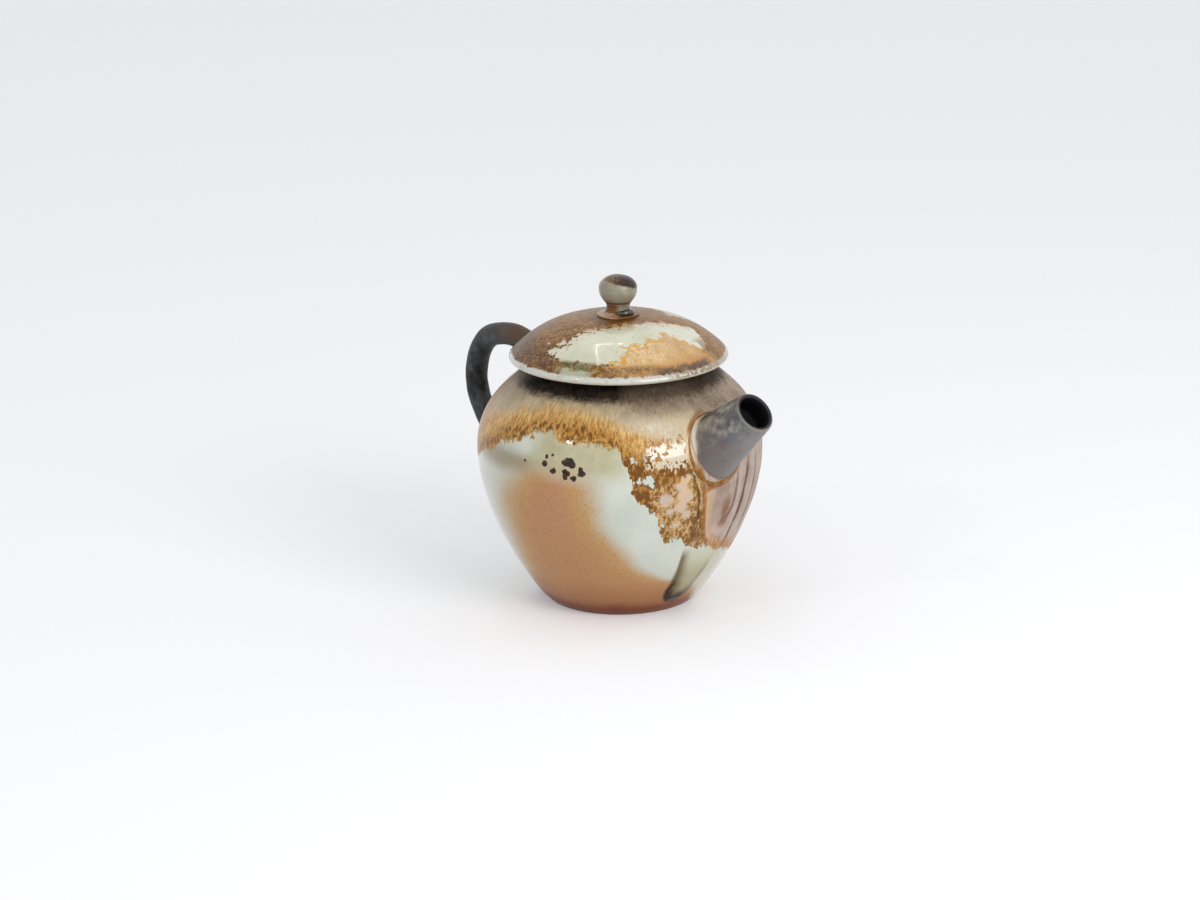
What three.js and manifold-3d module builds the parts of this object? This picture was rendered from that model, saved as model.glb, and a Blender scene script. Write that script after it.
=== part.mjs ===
// A small wood-fired porcelain teapot, built as a potter builds it: a thrown pot with a luted spout,
// strainer and handle, and a lid made of a thrown dome, a locating ring and a knob.
// Millimetres, +Z up. The origin is the centre of the base, the spout is on +X, the handle on -X.
import * as THREE from "three";
import { mergeVertices, toCreasedNormals } from "three/addons/utils/BufferGeometryUtils.js";
import Module from "manifold-3d";

const wasm = await Module();
wasm.setup();

const gap = 0.3; // left between two pieces that touch
const turnedFacets = 48; // facets round a thrown piece
const smallFacets = 28; // facets round the knob and the spout
const creaseAngle = THREE.MathUtils.degToRad(35);

// Pot, as radius and height of its thrown outline.
const wallThickness = 2.8;
const floorThickness = 3.6;
const base = { radius: 19.5, edgeRadius: 20.3, edgeHeight: 0.5 };
const belly = { radius: 37.95, height: 40 };
const shoulder = { radius: 22.6, height: 63.6 };
const neck = { radius: 21.4, bore: 18.8, rimHeight: 68.4, lip: 0.8, fillet: 2.4 };
const pull = { foot: [23.8, 2.95], bellyBelow: 24.1, bellyAbove: 43.2, shoulder: [39.3, 53.6] };

// Spout, along an axis that rises from the wall to the mouth.
const spout = {
  mouthX: 48.9,
  mouthHeight: 59.5,
  rise: THREE.MathUtils.degToRad(41),
  length: 18.3,
  mouthRadius: 5.6,
  mouthBore: 4.35,
  rootRadius: 8.7,
  rootBore: 6.6,
  lip: 0.6,
  tail: 10,
};
const lute = { onSpout: 1.5, onPot: 1.4 }; // how far the bead of slip stands off each surface
const wallHole = { radius: 6.4, inward: 16, outward: 6 };

// Strainer, a pierced dome inside the wall.
const strainer = {
  radius: 10,
  thickness: 1.6,
  behindRoot: 3,
  tilt: THREE.MathUtils.degToRad(18),
  holeRadius: 1,
  facets: 22,
  holeFacets: 8,
  rings: [
    { holes: 1, angle: 0 },
    { holes: 6, angle: THREE.MathUtils.degToRad(24) },
    { holes: 12, angle: THREE.MathUtils.degToRad(48) },
  ],
};

// Handle, one coil whose centre line runs from the shoulder down to the lower root.
const handle = { radius: 3.15, rootRadius: 3.8, facets: 16, steps: 34, swell: 0.2 };
const handleLine = [
  [-25, 56.5],
  [-30.5, 60.3],
  [-35, 62.9],
  [-40, 64],
  [-46, 63.4],
  [-50.5, 61.5],
  [-53.8, 57.6],
  [-55.5, 52],
  [-55.5, 47.3],
  [-54.1, 42.8],
  [-51.1, 38.1],
  [-46.6, 34.2],
  [-41.2, 32.1],
  [-33, 31],
];

// Lid, as heights above the seat, where it rests on the neck's rim.
const seatHeight = neck.rimHeight + gap;
const lid = {
  radius: 29,
  lipRadius: 0.95,
  lipHeight: -2.6,
  lipTopAngle: THREE.MathUtils.degToRad(40),
  crown: 8.05,
  slopePull: [22.1, 4.75],
  crownPull: 16.15,
  seatOuter: 22.4,
  seatInner: 15.3,
  hollow: 5.3,
};
const flange = { clearance: 0.55, thickness: 2.6, depth: 6.8, taper: 0.35 };
const knob = {
  footRadius: 5.57,
  footHeight: 8.5,
  footRound: 0.25,
  stemRadius: 3.1,
  stemHeight: 10.6,
  ballRadius: 5.12,
  ballHeight: 15.2,
  top: 18.8,
  ballPull: 1.1,
  cheekPull: 2.8,
  crownPull: 1.5,
  topPull: 3,
};

const glazes = {
  pot_body: { color: 0xb9b39a, roughness: 0.25, metalness: 0 },
  spout: { color: 0x6f7175, roughness: 0.6, metalness: 0 },
  spout_lute: { color: 0xa9793c, roughness: 0.4, metalness: 0 },
  strainer: { color: 0xb3aa9c, roughness: 0.6, metalness: 0 },
  handle: { color: 0x36383b, roughness: 0.6, metalness: 0 },
  lid_dome: { color: 0x8a6a48, roughness: 0.3, metalness: 0 },
  lid_flange: { color: 0xcfc6b6, roughness: 0.6, metalness: 0 },
  lid_knob: { color: 0x95917f, roughness: 0.3, metalness: 0 },
};

// A closed geometry as a solid that can be joined and cut.
function solidOf(geometry) {
  const bare = geometry.clone();
  bare.deleteAttribute("normal");
  bare.deleteAttribute("uv");
  const merged = mergeVertices(bare);
  return new wasm.Manifold(
    new wasm.Mesh({
      numProp: 3,
      vertProperties: merged.attributes.position.array,
      triVerts: new Uint32Array(merged.index.array),
    }),
  );
}

// A solid as a mesh with its own glaze, smooth except at its edges.
function piece(name, solid) {
  const { vertProperties, triVerts } = solid.getMesh();
  const geometry = new THREE.BufferGeometry();
  geometry.setAttribute("position", new THREE.BufferAttribute(vertProperties, 3));
  geometry.setIndex(new THREE.BufferAttribute(triVerts, 1));
  const material = new THREE.MeshStandardMaterial(glazes[name]);
  const mesh = new THREE.Mesh(toCreasedNormals(geometry, creaseAngle), material);
  mesh.name = name;
  return mesh;
}

// Turns an outline of radius and height round the Z axis.
function turned(outline, facets) {
  return new THREE.LatheGeometry(outline, facets).rotateX(Math.PI / 2);
}

// Moves each point of an outline sideways, to its right as the outline runs.
function offset(outline, distance) {
  return outline.map((point, i) => {
    const before = outline[Math.max(i - 1, 0)];
    const after = outline[Math.min(i + 1, outline.length - 1)];
    const along = after.clone().sub(before).normalize();
    return new THREE.Vector2(point.x + along.y * distance, point.y - along.x * distance);
  });
}

// An outline that runs from the axis at its lowest point, along the given points, back to the axis.
function closedOnAxis(points) {
  const first = new THREE.Vector2(0, points[0].y);
  const last = new THREE.Vector2(0, points.at(-1).y);
  return [first, ...points, last];
}

// The pot's outside from the foot's edge up to the shoulder.
function bellyOutline() {
  const path = new THREE.Path();
  path.moveTo(base.edgeRadius, base.edgeHeight);
  path.bezierCurveTo(...pull.foot, belly.radius, pull.bellyBelow, belly.radius, belly.height);
  path.bezierCurveTo(
    belly.radius,
    pull.bellyAbove,
    ...pull.shoulder,
    shoulder.radius,
    shoulder.height,
  );
  return path.getPoints(9);
}

// The pot's outside from the centre of the base to the outer edge of the neck's rim.
function potOutside() {
  const foot = new THREE.Path();
  foot.moveTo(base.radius, 0);
  foot.quadraticCurveTo((base.radius + base.edgeRadius) / 2, 0, base.edgeRadius, base.edgeHeight);
  const collar = new THREE.Path();
  collar.moveTo(shoulder.radius, shoulder.height);
  collar.quadraticCurveTo(
    neck.radius,
    shoulder.height + neck.fillet / 3,
    neck.radius,
    shoulder.height + neck.fillet,
  );
  collar.lineTo(neck.radius, neck.rimHeight - neck.lip);
  collar.quadraticCurveTo(neck.radius, neck.rimHeight, neck.radius - neck.lip, neck.rimHeight);
  return [
    ...foot.getPoints(2),
    ...bellyOutline().slice(1, -1),
    ...collar.getPoints(3),
  ];
}

// The pot's inside from the inner edge of the rim down to the edge of the floor.
function potInside() {
  const throat = new THREE.Path();
  throat.moveTo(neck.bore + neck.lip, neck.rimHeight);
  throat.quadraticCurveTo(neck.bore, neck.rimHeight, neck.bore, neck.rimHeight - neck.lip);
  throat.lineTo(neck.bore, shoulder.height - neck.fillet / 3);
  const wall = offset(bellyOutline(), -wallThickness).reverse();
  const floorEdge = new THREE.Vector2(base.radius - wallThickness, floorThickness);
  return [
    ...throat.getPoints(3),
    ...wall.filter((point) => point.x > floorEdge.x && point.y > floorThickness),
    floorEdge,
  ];
}

// The pot's filled outside, grown by a distance.
function potForm(distance) {
  const outline = offset(potOutside(), distance);
  return solidOf(turned(closedOnAxis(outline), turnedFacets));
}

// The space inside the pot, less a distance off every wall.
function cavity(distance) {
  const outline = offset(potInside().reverse(), -distance);
  return solidOf(turned(closedOnAxis(outline), turnedFacets));
}

// Takes a geometry from the spout's own frame, whose Z axis leaves the root, to the pot's frame.
function onSpoutAxis(geometry) {
  const rootX = spout.mouthX - spout.length * Math.cos(spout.rise);
  const rootHeight = spout.mouthHeight - spout.length * Math.sin(spout.rise);
  return geometry.rotateY(Math.PI / 2 - spout.rise).translate(rootX, 0, rootHeight);
}

// The radius of a cone that runs from the spout's root to its mouth, at a distance from the root.
function coneRadius(rootRadius, mouthRadius, distance) {
  return rootRadius + ((mouthRadius - rootRadius) * distance) / spout.length;
}

// The spout's filled outside, grown by a distance and long enough to pass through the wall.
function spoutForm(distance) {
  const tailRadius = coneRadius(spout.rootRadius, spout.mouthRadius, -spout.tail);
  const outline = [
    new THREE.Vector2(tailRadius + distance, -spout.tail),
    new THREE.Vector2(spout.mouthRadius + distance, spout.length),
  ];
  return solidOf(onSpoutAxis(turned(closedOnAxis(outline), smallFacets)));
}

function makePotBody() {
  const outline = closedOnAxis([...potOutside(), ...potInside()]);
  const opening = new THREE.CylinderGeometry(
    wallHole.radius,
    wallHole.radius,
    wallHole.inward + wallHole.outward,
    smallFacets,
  )
    .rotateX(Math.PI / 2)
    .translate(0, 0, (wallHole.outward - wallHole.inward) / 2);
  const thrown = solidOf(turned(outline, turnedFacets));
  return piece("pot_body", thrown.subtract(solidOf(onSpoutAxis(opening))));
}

function makeSpout() {
  const { length, tail, lip, mouthRadius, mouthBore, rootRadius, rootBore } = spout;
  const tube = new THREE.Path();
  tube.moveTo(coneRadius(rootBore, mouthBore, -tail), -tail);
  tube.lineTo(coneRadius(rootRadius, mouthRadius, -tail), -tail);
  tube.lineTo(mouthRadius, length - lip);
  tube.quadraticCurveTo(mouthRadius, length, mouthRadius - lip, length);
  tube.lineTo(mouthBore + lip, length);
  tube.quadraticCurveTo(mouthBore, length, mouthBore, length - lip);
  tube.closePath();
  const whole = solidOf(onSpoutAxis(turned(tube.getPoints(3), smallFacets)));
  return piece("spout", whole.subtract(potForm(gap)));
}

// The bead of slip in the corner between the spout and the pot.
function makeSpoutLute() {
  const corner = spoutForm(lute.onSpout).intersect(potForm(lute.onPot));
  return piece("spout_lute", corner.subtract(spoutForm(gap)).subtract(potForm(gap)));
}

// A pierced shell of a ball, of which the part inside the pot is kept.
function makeStrainer() {
  const { radius, thickness } = strainer;
  const centre = onSpoutAxis(new THREE.BufferGeometry().setFromPoints([
    new THREE.Vector3(0, 0, -strainer.behindRoot),
  ])).attributes.position;
  const move = [centre.getX(0), centre.getY(0), centre.getZ(0)];
  const ball = (size) =>
    solidOf(
      new THREE.SphereGeometry(size, strainer.facets, strainer.facets / 2).translate(...move),
    );
  let dome = ball(radius).subtract(ball(radius - thickness));
  for (const ring of strainer.rings) {
    for (let i = 0; i < ring.holes; i++) {
      const drill = new THREE.CylinderGeometry(
        strainer.holeRadius,
        strainer.holeRadius,
        3 * thickness,
        strainer.holeFacets,
      )
        .translate(0, radius - thickness / 2, 0)
        .rotateZ(ring.angle)
        .rotateY(((i + 0.5) * 2 * Math.PI) / ring.holes)
        .rotateZ(Math.PI / 2 + strainer.tilt)
        .rotateX(Math.PI / 2)
        .translate(...move);
      dome = dome.subtract(solidOf(drill));
    }
  }
  return piece("strainer", dome.intersect(cavity(gap)));
}

// A round coil that swells towards its two roots, cut where it meets the pot.
function makeHandle() {
  const line = new THREE.CatmullRomCurve3(
    handleLine.map(([x, z]) => new THREE.Vector3(x, 0, z)),
    false,
    "centripetal",
  );
  const section = new THREE.Shape().absarc(0, 0, handle.radius, 0, 2 * Math.PI);
  const coil = new THREE.ExtrudeGeometry(section, {
    steps: handle.steps,
    curveSegments: handle.facets / 2,
    extrudePath: line,
    bevelEnabled: false,
  });
  const centres = line.getSpacedPoints(handle.steps);
  const position = coil.attributes.position;
  const point = new THREE.Vector3();
  for (let i = 0; i < position.count; i++) {
    point.fromBufferAttribute(position, i);
    const distances = centres.map((centre) => centre.distanceTo(point));
    const nearest = distances.indexOf(Math.min(...distances));
    const along = nearest / handle.steps;
    const toRoot = Math.min(along, 1 - along) / handle.swell;
    const swell = 1 - THREE.MathUtils.smoothstep(toRoot, 0, 1);
    const radius = THREE.MathUtils.lerp(handle.radius, handle.rootRadius, swell);
    point.sub(centres[nearest]).multiplyScalar(radius / handle.radius).add(centres[nearest]);
    position.setXYZ(i, point.x, point.y, point.z);
  }
  return piece("handle", solidOf(coil).subtract(potForm(gap)));
}

// The lid's outline above its lip, from the lip up to the crown.
function lidTop() {
  const lipCentre = lid.radius - lid.lipRadius;
  const path = new THREE.Path();
  path.moveTo(
    lipCentre + lid.lipRadius * Math.cos(lid.lipTopAngle),
    lid.lipHeight + lid.lipRadius * Math.sin(lid.lipTopAngle),
  );
  path.bezierCurveTo(...lid.slopePull, lid.crownPull, lid.crown, 0, lid.crown);
  return path.getPoints(11);
}

function makeLidDome() {
  const lipCentre = lid.radius - lid.lipRadius;
  const under = new THREE.Path();
  under.moveTo(0, lid.hollow);
  under.bezierCurveTo(lid.seatInner / 2, lid.hollow, lid.seatInner, lid.hollow, lid.seatInner, 0);
  under.lineTo(lid.seatOuter, 0);
  under.lineTo(lipCentre - lid.lipRadius / 2, lid.lipHeight - 0.8 * lid.lipRadius);
  const lip = new THREE.Path();
  lip.absarc(lipCentre, lid.lipHeight, lid.lipRadius, -Math.PI / 2, lid.lipTopAngle / 2);
  const outline = [...under.getPoints(5), ...lip.getPoints(2), ...lidTop()];
  return piece("lid_dome", solidOf(turned(outline, turnedFacets)));
}

// The ring under the lid that drops into the neck and keeps the lid on centre.
function makeLidFlange() {
  const outer = neck.bore - flange.clearance;
  const inner = outer - flange.thickness;
  const ring = new THREE.Path();
  ring.moveTo(inner, -gap);
  ring.lineTo(inner, -flange.depth);
  ring.lineTo(outer - 2 * flange.taper, -flange.depth);
  ring.lineTo(outer - flange.taper, 1 - flange.depth);
  ring.lineTo(outer, -gap - 1);
  ring.lineTo(outer, -gap);
  ring.closePath();
  return piece("lid_flange", solidOf(turned(ring.getPoints(1), turnedFacets)));
}

function makeLidKnob() {
  const path = new THREE.Path();
  path.moveTo(0, lid.hollow + 1);
  path.lineTo(knob.footRadius, lid.hollow + 1);
  path.lineTo(knob.footRadius, knob.footHeight - knob.footRound);
  path.lineTo(knob.footRadius - knob.footRound, knob.footHeight);
  path.quadraticCurveTo(knob.stemRadius, knob.footHeight, knob.stemRadius, knob.stemHeight);
  path.bezierCurveTo(
    knob.stemRadius,
    knob.stemHeight + knob.ballPull,
    knob.ballRadius,
    knob.ballHeight - knob.cheekPull,
    knob.ballRadius,
    knob.ballHeight,
  );
  path.bezierCurveTo(
    knob.ballRadius,
    knob.top - knob.crownPull,
    knob.topPull,
    knob.top,
    0,
    knob.top,
  );
  const turnedKnob = solidOf(turned(path.getPoints(5), smallFacets));
  const crown = closedOnAxis(offset(lidTop(), gap).slice(0, -1));
  return piece("lid_knob", turnedKnob.subtract(solidOf(turned(crown, turnedFacets))));
}

// The lid's three pieces share a frame whose origin is on the axis at the seat.
const lidAssembly = new THREE.Group();
lidAssembly.position.z = seatHeight;
lidAssembly.add(makeLidDome(), makeLidFlange(), makeLidKnob());

const teapot = new THREE.Group();
teapot.add(makePotBody(), makeSpout(), makeSpoutLute(), makeStrainer(), makeHandle(), lidAssembly);

export default teapot;
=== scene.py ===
import math
from bisect import bisect_right
from functools import lru_cache, reduce
from types import SimpleNamespace

import bmesh
import bpy
from mathutils import Color, Matrix, Vector, noise
from mathutils.geometry import interpolate_bezier


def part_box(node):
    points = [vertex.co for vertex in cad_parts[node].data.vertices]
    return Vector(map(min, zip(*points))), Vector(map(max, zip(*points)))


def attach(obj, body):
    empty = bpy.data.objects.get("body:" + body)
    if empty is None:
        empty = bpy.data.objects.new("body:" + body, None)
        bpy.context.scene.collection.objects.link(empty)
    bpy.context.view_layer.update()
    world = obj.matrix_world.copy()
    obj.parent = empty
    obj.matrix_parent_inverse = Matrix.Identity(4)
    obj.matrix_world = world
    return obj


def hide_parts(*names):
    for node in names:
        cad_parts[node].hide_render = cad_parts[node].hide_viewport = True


# A small wood-fired porcelain teapot on a pale table.
# Sizes are in millimetres, and each finished mesh is scaled by mm. The spout points along +X.
# Angles called around are degrees round the pot from the side that faces the camera, rising to the right.

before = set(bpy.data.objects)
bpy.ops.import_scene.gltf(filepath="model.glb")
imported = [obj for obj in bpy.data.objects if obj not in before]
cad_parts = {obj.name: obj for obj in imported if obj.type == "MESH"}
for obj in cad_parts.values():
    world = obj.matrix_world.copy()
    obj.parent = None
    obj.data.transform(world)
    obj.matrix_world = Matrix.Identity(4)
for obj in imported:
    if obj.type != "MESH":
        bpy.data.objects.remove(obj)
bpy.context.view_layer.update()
scene = bpy.context.scene
mm = 0.001
facing = -45  # where around is 0, in degrees from the spout


def reach(node):
    # lowest and highest corner of a CAD node
    return [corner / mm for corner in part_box(node)]


def between(low, high, share):
    return low + (high - low) * share


def ease(value, low, high):
    # 0 at low and 1 at high, smoothly; low may be the larger
    share = min(max((value - low) / (high - low), 0), 1)
    return share * share * (3 - 2 * share)


def along(points, value):
    # the second number of the points at a value of the first, in straight steps
    after = bisect_right(points, (value, math.inf))
    if after in (0, len(points)):
        return points[min(after, len(points) - 1)][1]
    (x0, y0), (x1, y1) = points[after - 1], points[after]
    return between(y0, y1, (value - x0) / (x1 - x0))


def halve(low, high, isBefore):
    # the value between low and high up to which isBefore holds
    for _ in range(24):
        middle = (low + high) / 2
        low, high = (middle, high) if isBefore(middle) else (low, middle)
    return (low + high) / 2


def radial(around, distance, height):
    # a point from its place around, its distance from the axis and its height
    turn = math.radians(around + facing)
    return Vector((distance * math.cos(turn), distance * math.sin(turn), height))


def directionOf(turn, rise):
    # the direction of a camera or lamp, turned from -Y towards +X and raised, in radians
    return Vector((math.sin(turn) * math.cos(rise), -math.cos(turn) * math.cos(rise), math.sin(rise)))


def handMark(place, waves, sink):
    # how high the potter's hand left the clay at a place; waves are heights and lengths
    return sum(height * noise.noise(place / length) for height, length in waves) - sink


# Camera

cameraSet = {
    "target": (0, 0, 45),
    "distance": 886.2,
    "around": 45,
    "rise": 16.44,
    "lens": 100,
    "sensor": 36,
    "roll": -0.7,
    "shift": (-0.0164, -0.0167),
    "clip": (0.01, 20),  # in metres
}


def makeCamera():
    # right and up are turned about the view for the roll
    turn, rise, roll = (math.radians(cameraSet[key]) for key in ("around", "rise", "roll"))
    back = directionOf(turn, rise)
    right = Vector((math.cos(turn), math.sin(turn), 0))
    up = back.cross(right)
    rolledRight = right * math.cos(roll) + up * math.sin(roll)
    rolledUp = up * math.cos(roll) - right * math.sin(roll)
    data = bpy.data.cameras.new("camera")
    data.lens = cameraSet["lens"]
    data.sensor_width = cameraSet["sensor"]
    data.shift_x, data.shift_y = cameraSet["shift"]
    data.clip_start, data.clip_end = cameraSet["clip"]
    camera = bpy.data.objects.new("camera", data)
    axes = Matrix((rolledRight, rolledUp, back)).transposed().to_4x4()
    place = (Vector(cameraSet["target"]) + back * cameraSet["distance"]) * mm
    camera.matrix_world = Matrix.Translation(place) @ axes
    scene.collection.objects.link(camera)
    scene.camera = camera


makeCamera()
print("camera placed")


# Shader maths

class Wire:
    # an output socket; sums on it add Math nodes to its tree
    def __init__(self, tree, socket=None):
        self.tree = tree
        self.socket = socket

    def node(self, kind, settings=None, inputs=None, output=0):
        made = self.tree.nodes.new(kind)
        for name, value in (settings or {}).items():
            if name == "curve":
                drawCurve(made.mapping, value)
            else:
                setattr(made, name, value)
        for name, value in (inputs or {}).items():
            if isinstance(value, Wire):
                self.tree.links.new(value.socket, made.inputs[name])
            else:
                made.inputs[name].default_value = value
        return Wire(self.tree, made.outputs[output])

    def math(self, operation, *values):
        return self.node("ShaderNodeMath", {"operation": operation}, dict(enumerate((self, *values))))

    def __add__(self, other):
        return self.math("ADD", other)

    __radd__ = __add__

    def __sub__(self, other):
        return self.math("SUBTRACT", other)

    def __rsub__(self, other):
        return self.math("MULTIPLY_ADD", -1.0, other)

    def __mul__(self, other):
        return self.math("MULTIPLY", other)

    __rmul__ = __mul__

    def __truediv__(self, other):
        return self.math("DIVIDE", other)


def drawCurve(mapping, points):
    curve = mapping.curves[0]
    curve.points[0].location = points[0]
    curve.points[-1].location = points[-1]
    for x, y in points[1:-1]:
        curve.points.new(x, y)
    for point in curve.points:
        point.handle_type = "AUTO_CLAMPED"
    mapping.update()


def mask(value, low, high):
    # 0 at low and 1 at high, smoothly; low may be the larger
    return value.node(
        "ShaderNodeMapRange",
        {"interpolation_type": "SMOOTHSTEP"},
        {"Value": value, "From Min": low, "From Max": high},
    )


def band(value, start, full, last, end):
    # 1 from full to last, and 0 before start and after end
    return mask(value, start, full) * mask(value, end, last)


def near(value, place, far, close):
    # 1 closer than close to a place, and 0 farther than far
    return mask((value - place).math("ABSOLUTE"), far, close)


def most(first, *others):
    # the highest of several values
    return reduce(lambda high, other: high.math("MAXIMUM", other), others, first)


def least(first, *others):
    # the lowest of several values
    return reduce(lambda low, other: low.math("MINIMUM", other), others, first)


def follow(value, points):
    # the height of a line drawn through the points, at a value
    low, high = points[0][0], points[-1][0]
    floor = min(y for x, y in points)
    rise = max(y for x, y in points) - floor
    drawn = [((x - low) / (high - low), (y - floor) / rise) for x, y in points]
    share = (value - low) / (high - low)
    return floor + rise * value.node("ShaderNodeFloatCurve", {"curve": drawn}, {"Value": share})


def grain(where, size, detail):
    # noise from about -1 to 1, with features about size wide
    inputs = {"Vector": where, "Scale": 1 / size, "Detail": detail, "Roughness": 0.55}
    return (where.node("ShaderNodeTexNoise", {}, inputs) - 0.5) * 4


roomSheen = 0.027  # what a white room's reflection adds to every colour
darkest = 0.002


def screen(tone):
    # a tone as it looks on the screen, in Blender's own linear numbers and less the sheen
    linear = Color([part / 255 for part in tone]).from_srgb_to_scene_linear()
    return (*(max(part - roomSheen, darkest) for part in linear), 1.0)


def mix(share, low, high):
    # low where the share is 0 and high where it is 1; each is a tone or the result of a mix
    low, high = (end if isinstance(end, Wire) else screen(end) for end in (low, high))
    return share.node("ShaderNodeMix", {"data_type": "RGBA"}, {0: share, 6: low, 7: high}, 2)


def spotOn(tree):
    # where a point of the object is, in millimetres and in degrees around
    node = Wire(tree).node
    point = node("ShaderNodeTexCoord", output="Object")
    point = node("ShaderNodeVectorMath", {"operation": "SCALE"}, {0: point, "Scale": 1 / mm})
    x, y, z = (node("ShaderNodeSeparateXYZ", {}, {0: point}, axis) for axis in range(3))
    radius = (x * x + y * y).math("SQRT").math("MAXIMUM", 0.01)
    around = (x + y).math("ARCTAN2", x - y).math("DEGREES")
    girth = potSet["streakGirth"]

    def streaks(stretch):
        # a place whose noise runs down the wall in streaks
        ends = {0: x / radius * girth, 1: y / radius * girth, 2: z / stretch}
        return node("ShaderNodeCombineXYZ", {}, ends)

    return SimpleNamespace(
        point=point, x=x, y=y, z=z, radius=radius, around=around, streaks=streaks, node=node
    )


def fire(name, recipe, constants=None):
    # a material from a recipe, which gives color, roughness, height in millimetres, and maybe coat
    material = bpy.data.materials.new(name)
    material.use_nodes = True
    tree = material.node_tree
    shader = tree.nodes["Principled BSDF"]
    for socket, value in (constants or {}).items():
        shader.inputs[socket].default_value = value
    spot = spotOn(tree)
    look = recipe(spot)
    bump = spot.node("ShaderNodeBump", {}, {"Distance": mm, "Height": look["height"]})
    links = {"Base Color": look["color"], "Roughness": look["roughness"], "Normal": bump}
    if "coat" in look:
        links["Coat Weight"] = look["coat"]
    for socket, wire in links.items():
        tree.links.new(wire.socket, shader.inputs[socket])
    return material


# Mesh helpers

def bend(start, pullStart, pullEnd, end, count):
    points = (Vector((*point, 0)) for point in (start, pullStart, pullEnd, end))
    return [(point.x, point.y) for point in interpolate_bezier(*points, count)]


def corner(start, turn, end, count):
    # a curve that leaves start towards turn and reaches end from it
    pulls = [tuple(between(a, b, 2 / 3) for a, b in zip(tip, turn)) for tip in (start, end)]
    return bend(start, *pulls, end, count)


def smoothLine(points, count):
    # evenly numbered points on a smooth line through the given ones
    line = []
    pad = [2 * points[0] - points[1], *points, 2 * points[-1] - points[-2]]
    for before, start, end, after in zip(pad, pad[1:], pad[2:], pad[3:]):
        pulls = (start + (end - before) / 6, end - (after - start) / 6)
        line += interpolate_bezier(start, *pulls, end, count)[:-1]
    return [*line, points[-1]]


def thrown(outline, steps, wedges=8):
    # an outline of radius and height turned once round the Z axis, as a wedge and its copies
    shape = bmesh.new()
    verts = [shape.verts.new((radius, 0, height)) for radius, height in outline]
    edges = [shape.edges.new(pair) for pair in zip(verts, verts[1:])]
    wedge = 2 * math.pi / wedges
    bmesh.ops.spin(shape, geom=verts + edges, axis=(0, 0, 1), angle=wedge, steps=steps // wedges)
    whole = shape.verts[:] + shape.edges[:] + shape.faces[:]
    turn = 2 * math.pi - wedge
    bmesh.ops.spin(shape, geom=whole, axis=(0, 0, 1), angle=turn, steps=wedges - 1, use_duplicate=True)
    bmesh.ops.remove_doubles(shape, verts=shape.verts, dist=1e-4)
    bmesh.ops.recalc_face_normals(shape, faces=shape.faces)
    return shape


def coil(line, radii, sides=24, closed=False):
    # a round coil of clay along a line, with a radius at each point
    data = bpy.data.curves.new("coil", "CURVE")
    data.dimensions = "3D"
    data.bevel_depth = 1
    data.bevel_resolution = sides // 4 - 1
    data.use_fill_caps = True
    spline = data.splines.new("POLY")
    spline.points.add(len(line) - 1)
    spline.use_cyclic_u = closed
    for point, place, radius in zip(spline.points, line, radii):
        point.co = (*place, 1)
        point.radius = radius
    thread = bpy.data.objects.new("coil", data)
    scene.collection.objects.link(thread)
    shape = bmesh.new()
    shape.from_mesh(meshOf(thread))
    bpy.data.objects.remove(thread)
    bmesh.ops.remove_doubles(shape, verts=shape.verts, dist=1e-4)
    bmesh.ops.recalc_face_normals(shape, faces=shape.faces)
    return shape


def meshOf(thing):
    # the mesh an object shows, with its modifiers applied
    graph = bpy.context.evaluated_depsgraph_get()
    return bpy.data.meshes.new_from_object(thing.evaluated_get(graph))


def asObject(shape, name):
    data = bpy.data.meshes.new(name)
    shape.to_mesh(data)
    shape.free()
    made = bpy.data.objects.new(name, data)
    scene.collection.objects.link(made)
    return made


def aimed(place, direction):
    # a matrix that moves a shape to a place and turns its Z axis along a direction
    return Matrix.Translation(place) @ direction.to_track_quat("Z", "Y").to_matrix().to_4x4()


def cutAway(thing, cutter):
    # takes the cutter's shape out of an object
    modifier = thing.modifiers.new("cut", "BOOLEAN")
    modifier.object = cutter
    modifier.solver = "EXACT"
    thing.data = meshOf(thing)
    thing.modifiers.clear()
    bpy.data.objects.remove(cutter)


def finishPiece(piece, materials, body, nodes):
    # scales to metres, smooths, ties the piece to its body, and hides the CAD nodes it stands for
    piece.data.transform(Matrix.Scale(mm, 4))
    piece.data.shade_smooth()
    piece.data.materials.clear()
    for material in materials:
        piece.data.materials.append(material)
    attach(piece, body)
    if nodes:
        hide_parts(*nodes)
    print(piece.name, len(piece.data.polygons), "faces")


# Pot

potHigh = reach("pot_body")[1]
potSet = {
    "baseRings": (0, 6, 12, 17),
    "baseRadius": 19.5,
    "baseTurn": 20.1,
    "baseEdge": (20.3, 0.5),
    "footPull": (23.8, 2.95),
    "bellyRadius": 37.95,
    "bellyHeight": 40,
    "bellyPulls": (24.1, 43.2),
    "shoulderPull": (39.3, 53.6),
    "shoulder": (22.6, 63.6),
    "neckRadius": 21.4,
    "neckFillet": 2.4,
    "filletPull": 0.67,
    "bore": 18.8,
    "throat": [(0, 64), (0, 62), (1.6, 61)],  # outward from the bore, and height
    "rimHeight": potHigh.z,
    "lip": 0.8,
    "wall": 2.8,
    "floor": 3.6,
    "floorCurve": (3.4, 7),
    "wallStops": (2.5, 3),  # the wall's curve ends this far out from the bore and up from the floor
    "reliefSpan": (1, 64),
    "reliefFade": 5,
    "skin": 0.6,  # what lies deeper than this belongs to the inside
    "hand": [(0.08, 1)],  # waves left by the potter's hand, as height and length
    "handSize": (14, 14, 5),
    "sink": 0.06,
    "streakGirth": 38,  # radius at which the streaks of the glaze have their size
    "glazeLine": 66,  # above this the rim has the outside's glaze
    "steps": 480,
}
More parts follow.
